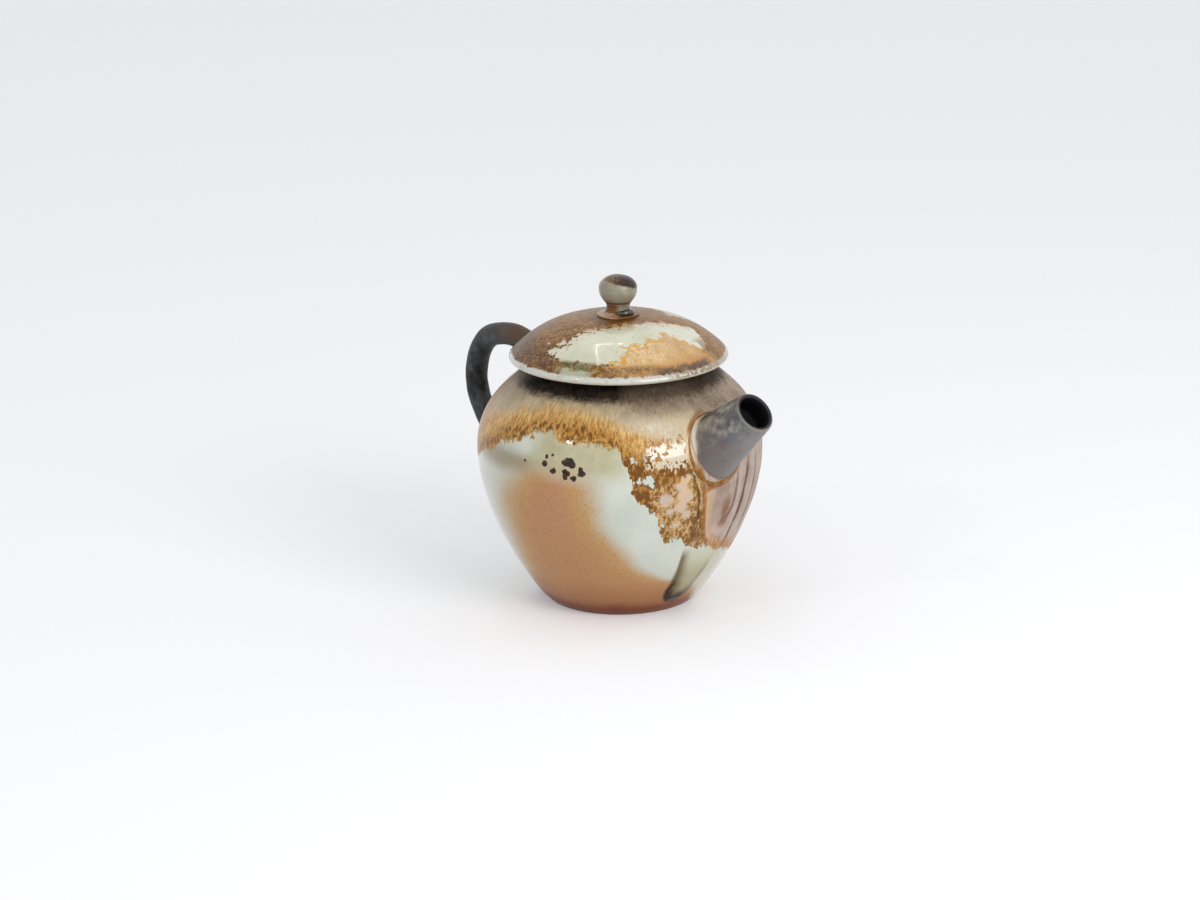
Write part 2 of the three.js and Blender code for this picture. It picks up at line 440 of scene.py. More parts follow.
# The ridge of joining slip below the spout, as height and place around.
seamLine = [
    (18, 45), (22, 41), (24, 38.2), (28, 36.2), (32, 35.4), (36, 34.8), (40, 34.2), (43, 33), (46, 31),
    (50, 30.2), (53, 31), (56, 34),
]
seamSet = {"height": 0.4, "halfWidth": 1.3, "from": 20, "full": 24, "last": 47, "to": 53}
# The glaze run under the seam, as height and place around.
dripSet = {
    "left": [(3, 33), (4, 29), (5, 27.5), (7, 26.5), (10, 28), (15, 28.5), (22, 29)],
    "right": [(3, 36), (4, 39), (5, 42), (6, 44), (8, 46.5), (10, 48), (15, 52), (22, 58)],
    "bottom": 3.6,
    "fade": (12, 19),  # the relief fades out between these heights
    "edge": (-0.2, 1.6),
    "height": 0.55,
}
# Dark grooves like wood grain right of the ridge.
grainSet = {"depth": 0.28, "halfWidth": 0.9, "fade": 4}
woodGrain = [
    {"line": [(17, 56), (26, 58), (34, 60), (45, 62.5)], "from": 17, "to": 44, "depth": 1},
    {"line": [(17, 50), (26, 50), (31, 53), (45, 55)], "from": 24, "to": 43, "depth": 0.7},
    {"line": [(17, 66), (26, 68), (34, 69), (45, 70)], "from": 19, "to": 46, "depth": 0.5},
    {"line": [(17, 75), (26, 76), (34, 78), (45, 80)], "from": 16, "to": 36, "depth": 0.3},
]


def bellyOutline(count):
    belly = (potSet["bellyRadius"], potSet["bellyHeight"])
    below, above = potSet["bellyPulls"]
    lower = bend(potSet["baseEdge"], potSet["footPull"], (belly[0], below), belly, count)
    upper = bend(belly, (belly[0], above), potSet["shoulderPull"], potSet["shoulder"], int(0.6 * count))
    return lower + upper[1:]


def offset(outline, distance):
    # each point moved sideways, to the right as the outline runs
    moved = []
    for i, (radius, height) in enumerate(outline):
        before, after = outline[max(i - 1, 0)], outline[min(i + 1, len(outline) - 1)]
        run = Vector((after[0] - before[0], after[1] - before[1])).normalized()
        moved.append((radius + run.y * distance, height - run.x * distance))
    return moved


def potOutside(count):
    foot = [(radius, 0) for radius in potSet["baseRings"]]
    foot += corner((potSet["baseRadius"], 0), (potSet["baseTurn"], 0), potSet["baseEdge"], 4)[:-1]
    neck, rim, lip, fillet = (potSet[key] for key in ("neckRadius", "rimHeight", "lip", "neckFillet"))
    top = potSet["shoulder"][1] + fillet
    collar = corner(potSet["shoulder"], (neck, top - fillet * potSet["filletPull"]), (neck, top), 6)[1:]
    collar += corner((neck, rim - lip), (neck, rim), (neck - lip, rim), 6)
    return foot + bellyOutline(count) + collar


def potInside():
    bore, rim, lip, floor = (potSet[key] for key in ("bore", "rimHeight", "lip", "floor"))
    throat = corner((bore + lip, rim), (bore, rim), (bore, rim - lip), 6)
    throat += corner(*((bore + out, height) for out, height in potSet["throat"]), 6)
    wall = offset(bellyOutline(24), -potSet["wall"])[::-1]
    out, up = potSet["wallStops"]
    wall = [point for point in wall if point[0] > bore + out and point[1] > floor + up]
    last, (pull, reachIn) = wall[-1], potSet["floorCurve"]
    turn = corner(last, (last[0] - pull, floor), (last[0] - reachIn, floor), 6)[1:]
    return throat + wall + turn + [(potSet["baseRings"][1], floor), (0, floor)]


sideOutline = bellyOutline(60) + [(potSet["neckRadius"], height) for height in (66, 70)]
sideByHeight = sorted((height, radius) for radius, height in sideOutline)


def potRadius(height):
    return along(sideByHeight, height)


def potSlope(height, step=0.5):
    return (potRadius(height + step) - potRadius(height - step)) / (2 * step)


def potDepth(point):
    # how far a point is inside the pot's filled outside
    inside = potRadius(point.z) - math.hypot(point.x, point.y)
    return inside / math.hypot(1, potSlope(point.z))


def onPot(around, height):
    return radial(around, potRadius(height), height)


def dripInside(around, height):
    # how far a place is inside the glaze run's outline, in millimetres
    scale = potRadius(height) * math.pi / 180
    left = (around - along(dripSet["left"], height)) * scale
    right = (along(dripSet["right"], height) - around) * scale
    return min(left, right, height - dripSet["bottom"])


def potRelief(around, height):
    # how far glaze stands proud of the wall, or a mark is pressed into it
    full, top = dripSet["fade"]
    proud = dripSet["height"] * ease(dripInside(around, height), *dripSet["edge"]) * ease(height, top, full)
    scale = potRadius(height) * math.pi / 180
    fromSeam = abs(around - along(seamLine, height)) * scale
    ends = ease(height, seamSet["from"], seamSet["full"]) * ease(height, seamSet["to"], seamSet["last"])
    proud += seamSet["height"] * ends * ease(fromSeam, seamSet["halfWidth"], 0.1)
    fade = grainSet["fade"]
    for mark in woodGrain:
        across = abs(around - along(mark["line"], height)) * scale
        ends = ease(height, mark["from"], mark["from"] + fade) * ease(height, mark["to"], mark["to"] - fade)
        proud -= grainSet["depth"] * mark["depth"] * ends * ease(across, grainSet["halfWidth"], 0.1)
    return proud


def shapePot(shape):
    # moves the outside of the wall for the glaze's relief and the potter's hand
    shape.normal_update()
    low, high = potSet["reliefSpan"]
    for vert in shape.verts:
        x, y, height = vert.co
        if height < low or height > high or math.hypot(x, y) < potRadius(height) - potSet["skin"]:
            continue
        place = Vector([part / size for part, size in zip(vert.co, potSet["handSize"])])
        wobble = handMark(place, potSet["hand"], potSet["sink"])
        relief = potRelief(math.degrees(math.atan2(x + y, x - y)), height)
        vert.co += vert.normal * (relief + wobble * ease(height, low, low + potSet["reliefFade"]))


# Spout, strainer and the bead of slip

spoutSet = {
    "mouth": (48.9, 59.5),
    "rise": 41,
    "length": 18.3,
    "mouthRadius": 5.6,
    "mouthBore": 4.35,
    "rootRadius": 8.7,
    "rootBore": 6.6,
    "lip": 0.6,
    "flare": (0.25, 1.3),
    "flareTurn": 1.45 * math.pi,
    "flareLength": 2.6,
    "slim": 1.1,
    "buried": 0.8,
    "hand": [(0.14, 5), (0.03, 1.7)],
    "sink": 0.05,
    "rows": 44,
    "steps": 112,
}
holeSet = {"radius": 6.4, "length": 24, "behindRoot": 5}
spoutRise = math.radians(spoutSet["rise"])
spoutAxis = Vector((math.cos(spoutRise), 0, math.sin(spoutRise)))
spoutUp = Vector((-spoutAxis.z, 0, spoutAxis.x))
spoutSide = Vector((0, 1, 0))
spoutRoot = Vector((spoutSet["mouth"][0], 0, spoutSet["mouth"][1])) - spoutAxis * spoutSet["length"]


def spoutPoint(distance, radius, turn):
    outward = spoutUp * math.cos(turn) + spoutSide * math.sin(turn)
    return spoutRoot + spoutAxis * distance + outward * radius


def coneRadius(root, mouth, distance):
    return between(root, mouth, distance / spoutSet["length"])


def flareAt(turn):
    # how far the root spreads, most on the side that faces the camera
    return between(*spoutSet["flare"], ease(math.cos(turn - spoutSet["flareTurn"]), -0.1, 0.95))


def rootAt(turn):
    # the cone is slimmer below than above
    return spoutSet["rootRadius"] - spoutSet["slim"] * ease(-math.cos(turn), 0, 1)


@lru_cache(maxsize=None)
def meetPot(root, mouth, extra, turn, depth):
    # the distance along the spout at which a cone's line is this deep in the pot's wall
    def isDeeper(distance):
        return potDepth(spoutPoint(distance, coneRadius(root, mouth, distance) + extra, turn)) > depth

    return halve(-8.0, spoutSet["length"], isDeeper)


def makeSpout():
    mouth, bore, rootBore, lip, buried = (
        spoutSet[key] for key in ("mouthRadius", "mouthBore", "rootBore", "lip", "buried")
    )
    length = spoutSet["length"] - lip
    # radius 1 to 2 runs from the bore to the outside; height 0 to 1 runs from the root to the lip
    rows = [i / spoutSet["rows"] for i in range(spoutSet["rows"] + 1)]
    arc = [math.pi * i / 10 for i in range(11)]
    outline = [(2, height) for height in rows]
    outline += [(1.5 + 0.5 * math.cos(a), 1 + lip * math.sin(a)) for a in arc[1:-1]]
    outline += [(1, height) for height in reversed(rows)]
    outline.append(outline[0])
    shape = thrown(outline, spoutSet["steps"])
    for vert in shape.verts:
        turn, skin = round(math.atan2(vert.co.y, vert.co.x), 5), math.hypot(vert.co.x, vert.co.y) - 1
        flare = flareAt(turn)
        outerStart = meetPot(rootAt(turn), mouth, flare, turn, buried)
        innerStart = meetPot(rootBore, bore, 0, turn, buried)
        share = min(vert.co.z, 1)
        start = between(innerStart, outerStart, skin)
        distance = between(start, length, share) + max(vert.co.z - 1, 0)
        reachOut = (distance - start) / spoutSet["flareLength"]
        outer = coneRadius(rootAt(turn), mouth, distance)
        outer += flare * (1 - ease(reachOut, 0, 1)) ** 2
        inner = coneRadius(rootBore, bore, distance)
        place = spoutPoint(distance, between(inner, outer, skin), turn)
        outward = (place - spoutPoint(distance, 0, turn)).normalized()
        place += outward * handMark(place, spoutSet["hand"], spoutSet["sink"]) * skin * ease(share, 0, 0.2)
        vert.co = place
    bmesh.ops.recalc_face_normals(shape, faces=shape.faces)
    return asObject(shape, "pouringSpout")


beadSet = {"thick": 0.68, "thin": 0.36, "thickTurn": 205, "lumps": 0.2, "points": 120, "sink": 0.3}


def makeBead():
    # a closed bead round the spout's root, thickest below on the left
    line, radii = [], []
    for i in range(beadSet["points"]):
        turn = 2 * math.pi * i / beadSet["points"]
        flare = flareAt(turn)
        start = meetPot(rootAt(turn), spoutSet["mouthRadius"], flare, turn, beadSet["sink"])
        radius = coneRadius(rootAt(turn), spoutSet["mouthRadius"], start) + flare
        place = spoutPoint(start, radius, turn)
        lump = beadSet["lumps"] * noise.noise(place / 2.5)
        low = ease(math.cos(turn - math.radians(beadSet["thickTurn"])), -0.2, 0.9)
        line.append(place)
        radii.append(between(beadSet["thin"], beadSet["thick"], low) * (1 + lump))
    return asObject(coil(line, radii, closed=True), "rootBead")


strainerSet = {
    "radius": 10,
    "thickness": 1.6,
    "behindRoot": 3,
    "tilt": 18,
    "holeRadius": 1,
    "rings": [(1, 0), (6, 24), (12, 48)],
    "buried": 1.0,
}


def makeStrainer():
    centre = spoutRoot - spoutAxis * strainerSet["behindRoot"]
    tilt = math.radians(strainerSet["tilt"])
    inward = Vector((-math.cos(tilt), 0, -math.sin(tilt)))
    level = Vector((-math.sin(tilt), 0, math.cos(tilt)))
    radius, thickness = strainerSet["radius"], strainerSet["thickness"]

    def onDome(size, polar, turn):
        sideways = level * math.cos(turn) + spoutSide * math.sin(turn)
        return centre + (inward * math.cos(polar) + sideways * math.sin(polar)) * size

    def rimAngle(turn, size):
        # where the dome's edge is in the wall
        depth = potSet["wall"] - strainerSet["buried"]
        return halve(0.3 * math.pi, 0.75 * math.pi, lambda polar: potDepth(onDome(size, polar, turn)) > depth)

    rows = [i / 30 for i in range(31)]
    outline = [(share, 1) for share in rows] + [(share, 0) for share in reversed(rows)]
    shape = thrown(outline, 72)
    for vert in shape.verts:
        turn, share = math.atan2(vert.co.y, vert.co.x), math.hypot(vert.co.x, vert.co.y)
        size = radius - thickness * (1 - vert.co.z)
        vert.co = onDome(size, share * rimAngle(turn, size), turn)
    bmesh.ops.recalc_face_normals(shape, faces=shape.faces)
    dome = asObject(shape, "teaStrainer")
    drills = bmesh.new()
    for holes, polar in strainerSet["rings"]:
        for i in range(holes):
            turn = (i + 0.5) * 2 * math.pi / holes
            middle = onDome(radius - thickness / 2, math.radians(polar), turn)
            bmesh.ops.create_cone(
                drills,
                cap_ends=True,
                segments=20,
                radius1=strainerSet["holeRadius"] * 0.9,
                radius2=strainerSet["holeRadius"],
                depth=3 * thickness,
                matrix=aimed(middle, middle - centre),
            )
    cutAway(dome, asObject(drills, "drills"))
    return dome


# Handle

handleSet = {
    "radius": 3.15,
    "rootRadius": 3.8,
    "swell": 0.2,
    "line": [
        (-25, 56.5), (-30.5, 60.3), (-35, 62.9), (-40, 64), (-46, 63.4), (-50.5, 61.5), (-53.8, 57.6),
        (-55.5, 52), (-55.5, 47.3), (-54.1, 42.8), (-51.1, 38.1), (-46.6, 34.2), (-41.2, 32.1), (-33, 31),
    ],
    "hand": [(0.16, 6), (0.05, 1.8)],
    "sink": 0.08,
    "slip": 0.7,
    "slipReach": 2.2,
    "buried": 0.9,
}


def makeHandle():
    line = smoothLine([Vector((x, 0, z)) for x, z in handleSet["line"]], 13)
    last = len(line) - 1
    radii = []
    for i in range(len(line)):
        toRoot = min(i, last - i) / last / handleSet["swell"]
        radii.append(between(handleSet["rootRadius"], handleSet["radius"], ease(toRoot, 0, 1)))
    shape = coil(line, radii, 40)
    shape.normal_update()
    for vert in shape.verts:
        vert.co += vert.normal * handMark(vert.co, handleSet["hand"], handleSet["sink"])
        # the ends spread a little where they meet the wall, and stop inside it
        slip = handleSet["slip"] * ease(abs(potDepth(vert.co)), handleSet["slipReach"], 0)
        vert.co += vert.normal * slip
        tooDeep = potDepth(vert.co) - handleSet["buried"]
        if tooDeep > 0:
            outward = Vector((vert.co.x, vert.co.y, 0)).normalized()
            outward.z = -potSlope(vert.co.z)
            vert.co += outward.normalized() * tooDeep
    bmesh.ops.recalc_face_normals(shape, faces=shape.faces)
    return asObject(shape, "coilHandle")


# Lid

lidHigh = reach("lid_dome")[1]
lidSet = {
    "radius": lidHigh.x,
    "seat": potHigh.z + 0.3,
    "crown": lidHigh.z,
    "lipRadius": 0.95,
    "lipHeight": 66.1,
    "slopePull": (22.1, 73.45),
    "crownPull": 16.15,
    "lipSpan": (-118, 40),
    "seatOuter": 22.4,
    "seatInner": 15.3,
    "seatRound": 0.4,
    "underside": [(23, 68.3), (24.5, 67.35), (26, 66.38)],
    "hollow": 74.0,
    "hand": [(0.10, 9), (0.022, 4)],
    "sink": 0.06,
    "knobSpan": (7, 11),  # the top stays true inside the first radius
    "steps": 360,
}
flangeLow, flangeHigh = reach("lid_flange")
flangeSet = {"outer": flangeHigh.x, "thickness": 2.6, "round": 0.7, "taper": (0.2, 0.15), "steps": 160}
knobLow, knobHigh = reach("lid_knob")
knobSet = {
    "footRadius": knobHigh.x,
    "footHeight": 77.2,
    "footRound": 0.3,
    "stem": (3.1, 79.3),
    "ball": (5.12, 83.9),
    "stemPull": 1.1,
    "cheekPull": 2.8,
    "crownPull": 1.5,
    "topPull": 3,
    "seat": [(1.4, 0.05), (0, 0.2)],  # in from the foot's edge, and down
    "hand": [(0.10, 4)],
    "sink": 0.05,
    "handSpan": (77.5, 79),
    "steps": 96,
}


def lipCircle(angle):
    turn, size = math.radians(angle), lidSet["lipRadius"]
    return (lidSet["radius"] - size + size * math.cos(turn), lidSet["lipHeight"] + size * math.sin(turn))


def lidTop():
    start, crown = lipCircle(lidSet["lipSpan"][1]), lidSet["crown"]
    return bend(start, lidSet["slopePull"], (lidSet["crownPull"], crown), (0, crown), 64)


def onLid(around, distance):
    return radial(around, distance, along(sorted(lidTop()), distance))


def makeLid():
    seat, inner, outer, hollow = (lidSet[key] for key in ("seat", "seatInner", "seatOuter", "hollow"))
    bevel, underside = lidSet["seatRound"], lidSet["underside"]
    under = bend((0, hollow), (inner / 2, hollow), (inner, hollow), (inner, seat + 0.5), 22)
    under += corner((inner, seat + bevel), (inner, seat), (inner + bevel, seat), 4)[1:]
    under += [(between(inner, outer, i / 6), seat) for i in range(1, 6)]
    under += corner((outer - 0.3, seat), (outer, seat), underside[0], 5) + underside[1:]
    lip = [lipCircle(angle) for angle in range(*lidSet["lipSpan"], 12)]
    shape = thrown(under + lip + lidTop(), lidSet["steps"])
    shape.normal_update()
    for vert in shape.verts:
        radius = math.hypot(vert.co.x, vert.co.y)
        if radius > lidSet["knobSpan"][0] and vert.normal.z > 0.1:
            wave = handMark(vert.co, lidSet["hand"], lidSet["sink"])
            vert.co += vert.normal * wave * ease(radius, *lidSet["knobSpan"])
    return asObject(shape, "thrownLid")


def makeFlange():
    outer, top, low = flangeSet["outer"], flangeHigh.z, flangeLow.z
    inner, bevel = outer - flangeSet["thickness"], flangeSet["round"]
    lowIn, nextIn = flangeSet["taper"]  # how far the outside tapers in at the bottom
    outline = [(inner, top), (inner, low + bevel)]
    outline += corner((inner, low + bevel), (inner, low), (inner + bevel, low), 5)[1:]
    outline += corner((outer - bevel - lowIn, low), (outer - lowIn, low), (outer - nextIn, low + bevel), 5)
    outline += [(outer, top - 1), (outer, top), (inner, top)]
    return asObject(thrown(outline, flangeSet["steps"]), "lidRing")


def makeKnob():
    foot, top = knobSet["footRadius"], knobSet["footHeight"]
    bevel, stem, ball = knobSet["footRound"], knobSet["stem"], knobSet["ball"]
    base = knobLow.z
    outline = [(0, base)] + [(foot - into, base - down) for into, down in knobSet["seat"]]
    outline += corner((foot, top - bevel), (foot, top), (foot - bevel, top), 5)
    outline += corner((foot - bevel, top), (stem[0], top), stem, 12)[1:]
    cheek = (ball[0], ball[1] - knobSet["cheekPull"])
    outline += bend(stem, (stem[0], stem[1] + knobSet["stemPull"]), cheek, ball, 18)[1:]
    crown = (ball[0], knobHigh.z - knobSet["crownPull"])
    outline += bend(ball, crown, (knobSet["topPull"], knobHigh.z), (0, knobHigh.z), 24)[1:]
    shape = thrown(outline, knobSet["steps"])
    shape.normal_update()
    for vert in shape.verts:
        dent = handMark(vert.co, knobSet["hand"], knobSet["sink"])
        vert.co += vert.normal * dent * ease(vert.co.z, *knobSet["handSpan"])
    return asObject(shape, "ballKnob")


poolSet = {
    "from": -16,
    "to": 104,
    "distance": 3.4,
    "swell": 0.35,
    "height": 77.8,
    "thick": 1.0,
    "thin": 0.4,
    "points": 40,
    "smoothings": 3,
}


def makePool():
    # glaze that ran down the stem and set in a crescent at the knob's foot
    line, radii = [], []
    for i in range(poolSet["points"] + 1):
        share = i / poolSet["points"]
        around = between(poolSet["from"], poolSet["to"], share)
        thick = ease(min(share, 1 - share), 0, 0.4)
        line.append(radial(around, poolSet["distance"] + poolSet["swell"] * thick, poolSet["height"]))
        radii.append(between(poolSet["thin"], poolSet["thick"], thick))
    shape = coil(line, radii)
    axes = {"use_axis_x": True, "use_axis_y": True, "use_axis_z": True}
    for _ in range(poolSet["smoothings"]):
        bmesh.ops.smooth_vert(shape, verts=shape.verts, factor=0.5, **axes)
    return asObject(shape, "glazePool")


# Glazes

# Tones are red, green and blue as they look on the screen, and each recipe lays one over another.

# Lower edge of the ash glaze, as place around and height, on the near side and on the far side.
fringe = [
    (-95, 38), (-80, 40.5), (-75, 42), (-68, 44), (-60, 46.6), (-57, 48.3), (-52, 49.1), (-45, 50.4),
    (-40, 52.2), (-30, 53.2), (-25, 51.5), (-15, 51.5), (-5, 50.8), (0, 50.3), (1, 46.9), (2.8, 46.3),
    (3.3, 43.4), (4.4, 43), (4.9, 37.8), (6, 36.7), (9.5, 36.2), (10.5, 34.5), (12.5, 33), (14.6, 31.6),
    (15.8, 28.5), (18, 25.5), (19.5, 23.6), (21.5, 24.2), (24, 24.6), (27, 25), (28.5, 22.6), (33, 21.4),
    (38, 20.6), (44, 20), (50, 18.2), (55, 17.6), (60, 16.8), (70, 15), (80, 13.5), (95, 12),
]
farFringe = [
    (-90, 12), (-75, 11), (-50, 14), (-30, 17), (-15, 20), (0, 26), (15, 31), (30, 36), (45, 40), (60, 42),
    (75, 40), (90, 38),
]
# Above the fringe the brown streaks turn ochre at one height, and the ochre turns grey at another.
brownTop = [
    (-180, 38), (-135, 44), (-90, 43), (-75, 45), (-60, 50.5), (-45, 54), (-30, 55.6), (-10, 54.8), (0, 52.6),
    (5, 49.5), (10, 48.5), (28, 49), (34, 47), (60, 24), (90, 18), (135, 24), (180, 38),
]
ochreTop = [
    (-180, 50), (-135, 52), (-90, 50), (-75, 53), (-60, 55), (-45, 57.7), (-30, 58.8), (-10, 57.6), (0, 55.8),
    (10, 53.6), (20, 51.6), (30, 51.6), (45, 50), (60, 27), (90, 22), (135, 34), (180, 50),
]
# The flash of bare colour on the front, as height and place around.
flashLeft = [
    (0, -110), (1, -96), (3, -86), (5, -76), (7, -70), (10, -64), (15, -60), (25, -57), (32, -54), (38, -49),
    (42, -43), (46, -36),
]
flashRight = [
    (0, 70), (1, 64), (3, 57), (5, 52), (7, 48), (8, 44), (10, 36), (12, 24), (14, 16), (17, 8), (20, 4),
    (25, -2), (30, -6.5), (36, -8.5), (42, -10), (46, -16),
]
# A dark line left of the ridge, as height and place around.
darkLine = [(20, 33.5), (25, 33), (30, 33.2), (34, 32.6), (38, 31.6), (41, 30.4), (44, 28.2), (48, 27)]
# Brown lines under and over the spout's root, as place around and height.
lowerRoot = [(34, 37.4), (38, 38), (44, 38.6), (50, 40.5), (56, 44)]
upperRoot = [(28, 50), (31, 53.4), (35, 55.2), (41, 56.6), (50, 57)]
# Spots as place around, height and radius: clear gaps in the ash, and clumps of ash outside it.
clearGaps = [
    (4.9, 47.8, 0.8), (6.3, 47.3, 0.6), (1, 46.6, 0.5), (5, 42.1, 0.45), (7.4, 42.1, 0.5), (9.6, 42.1, 0.75),
    (11.3, 42.6, 1.1), (12, 41, 0.5), (13.4, 32.6, 0.5), (17.4, 29.5, 0.35), (23, 24.9, 0.4),
]
ashClumps = [
    (-46, 50.2, 0.6), (-39.5, 51.4, 0.7), (-25.5, 52.6, 0.45), (-22, 52.3, 0.45), (-19.3, 51.5, 0.4),
    (-4.5, 50.6, 0.45), (1.8, 48.6, 0.8), (2.6, 47.2, 0.9), (4.2, 45.2, 0.9), (5.6, 39.6, 0.9),
    (8.4, 36.6, 0.9), (29.6, 22.7, 0.7), (32, 22.4, 0.7),
]
# Pale windows in the lace, and iron spots.
paleWindows = [
    (18, 36.3, 1.7), (24.6, 40.2, 1.8), (26.2, 37, 2.2), (24.6, 34.2, 1.7), (27.2, 31.6, 1.3),
    (22.8, 29.2, 1.1), (27.8, 42, 1.1), (20, 33, 0.8),
]
ironSpots = [
    (-40.5, 45.6, 0.4), (-28, 48.2, 0.48), (-30.5, 47.6, 0.61), (-31, 45.8, 0.88), (-27, 44.2, 0.8),
    (-22.5, 46.6, 0.8), (-20.5, 47, 1.2), (-19, 46.2, 0.88), (-21.5, 44, 1.01), (-22, 43, 0.8),
    (-18.5, 42.8, 0.75), (-15.5, 45, 0.75), (-15, 44.2, 1.01), (-19.5, 51.6, 0.27),
    (152, 44, 0.8), (156, 42.6, 0.6), (149, 41.8, 0.45),
]


# The noises that a glaze's layers share, as size and detail; a streaky one has its stretch first.
bodyNoises = {"grit": (0.45, 2.0), "clump": (1.5, 2.0), "blotch": (3.2, 3.0), "cloud": (9.0, 3.0)}
bodyStreaks = {
    "hatch": (3.2, 0.62, 2.5),
    "teeth": (1.6, 0.85, 2.0),
    "long": (9, 1.5, 3.0),
    "coarse": (3, 6.0, 2.0),
}


def addNoises(spot, noises, streaks):
    for name, (size, detail) in noises.items():
        setattr(spot, name, grain(spot.point, size, detail))
    for name, (stretch, size, detail) in streaks.items():
        setattr(spot, name, grain(spot.streaks(stretch), size, detail))


def apart(spot, place):
    # how far off a place is, in millimetres
    ends = {0: spot.point, 1: tuple(place)}
    return spot.node("ShaderNodeVectorMath", {"operation": "DISTANCE"}, ends, "Value")


def spotMask(spot, places, ragged):
    # 1 on round spots of the pot's wall, with ragged edges
    return most(*(
        mask(apart(spot, onPot(around, height)) + ragged, radius + 0.12, radius - 0.12)
        for around, height, radius in places
    ))


def onWall(spot, degrees):
    # degrees around as millimetres along the wall
    return degrees * spot.radius * (math.pi / 180)


def fromLine(spot, line, ragged):
    # how far a place is to the right of a line up the wall
    return onWall(spot, spot.around - follow(spot.z, line)) + ragged


def ashDepth(spot):
    # how far a place is above the ragged lower edge of the ash
    far = (-1 * (spot.x + spot.y)).math("ARCTAN2", spot.y - spot.x).math("DEGREES")
    nearEdge, farEdge = follow(spot.around, fringe), follow(far, farFringe)
    edge = nearEdge + (farEdge - nearEdge) * mask(spot.around.math("ABSOLUTE"), 91.5, 92.5)
    return spot.z - edge - 1.2 * spot.teeth - 0.4 * spot.clump - 0.3 * spot.coarse - 0.5 * spot.hatch


def clearLayer(spot):
    # clear glaze over white clay, warmer at the left and right and browner under the ash
    around, height, clump, cloud = spot.around, spot.z, spot.clump, spot.cloud
    color = mix(mask(cloud + 0.7 * spot.grit, -1, 1), (200, 206, 193), (213, 217, 205))
    leftTint = mask(height, 60, 8) * band(around, -150, -110, -62, -40)
    color = mix(leftTint * 0.7, color, (200, 191, 173))
    leftBand = near(height + 0.8 * cloud, 44.6, 5.2, 0.5) * band(around, -80, -62, -42, -26)
    color = mix(leftBand * 0.9, color, (152, 140, 110))
    frontBand = mask(height + cloud, 40.5, 46) * band(around, -44, -30, -4, 7)
    frontTone = mix(mask(cloud + 0.3 * clump, -1, 1), (174, 164, 122), (196, 190, 152))
    color = mix(frontBand * 0.85, color, frontTone)
    right = band(around, 40, 52, 95, 115)
    color = mix(right * 0.8, color, (188, 184, 158))
    return mix(right * mask(height + cloud, 10, 3) * 0.7, color, (204, 176, 142))


def flashLayer(spot, color):
    # the flash of bare colour on the front, darkest at the foot
    height, grit, cloud = spot.z, spot.grit, spot.cloud
    soft = 1.5 * grit + 2.0 * cloud
    fromLeft = spot.around - follow(height, flashLeft) + soft
    fromRight = follow(height, flashRight) - spot.around + soft
    fromTop = 47.5 - height + 1.2 * cloud
    flash = mask(fromLeft, -16, 10) * mask(fromRight, -6, 8) * mask(fromTop, -1, 8)
    heart = mask(fromRight, 4, 18) * mask(fromLeft, 4, 18) * mask(fromTop, 3, 9)
    rosy = mask(fromRight, 6, 20) * mask(fromLeft, 10, 24) * mask(height, 20, 32)
    tone = mix(heart, (196, 158, 110), (192, 145, 104))
    tone = mix(rosy * 0.5, tone, (192, 143, 116))
    tone = mix(mask(height + 1.2 * cloud, 13, 5) * 0.6, tone, (162, 110, 78))
    tone = mix(mask(height + cloud, 6, 1.5), tone, (128, 68, 28))
    tone = mix(mask(grit, -0.1, 0.8) * 0.35, tone, (150, 100, 64))
    return mix(flash, color, tone), flash


def dripLayer(spot, color):
    # the glaze run under the seam, dark at its rim and at its foot
    around, height, clump = spot.around, spot.z, spot.clump
    fromLeft = onWall(spot, around - follow(height, dripSet["left"]))
    fromRight = onWall(spot, follow(height, dripSet["right"]) - around)
    inside = least(fromLeft, fromRight, height - dripSet["bottom"])
    tone = mix(mask(inside + 0.3 * spot.blotch, 0.3, 4.4), (116, 98, 66), (170, 162, 128))
    tone = mix(mask(height, 11, 19) * mask(fromLeft, 0.5, 4), tone, (198, 198, 172))
    color = mix(mask(inside, -0.3, 0.5) * mask(height, 22, 18), color, tone)
    rim = near(inside + 0.2 * clump, 0.4, 1.3, 0.1) * mask(height, 15.5, 10)
    rim = rim * (0.72 + 0.35 * most(mask(fromLeft, 2.5, 1), mask(height, 7.5, 5.5)))
    low, covered = height + 0.4 * clump, mask(inside, -0.3, 0.4)
    blob = mask(low, 10.5, 6) * covered * mask(fromLeft + 0.3 * clump, 4, 1.2)
    blob = most(blob, mask(low, 8.4, 5.2) * covered * mask(fromLeft, 9, 4))
    dark = mix(mask(height, 8, 12), (66, 50, 46), (104, 82, 54))
    return mix(most(rim * 0.9, blob * 0.95), color, dark)


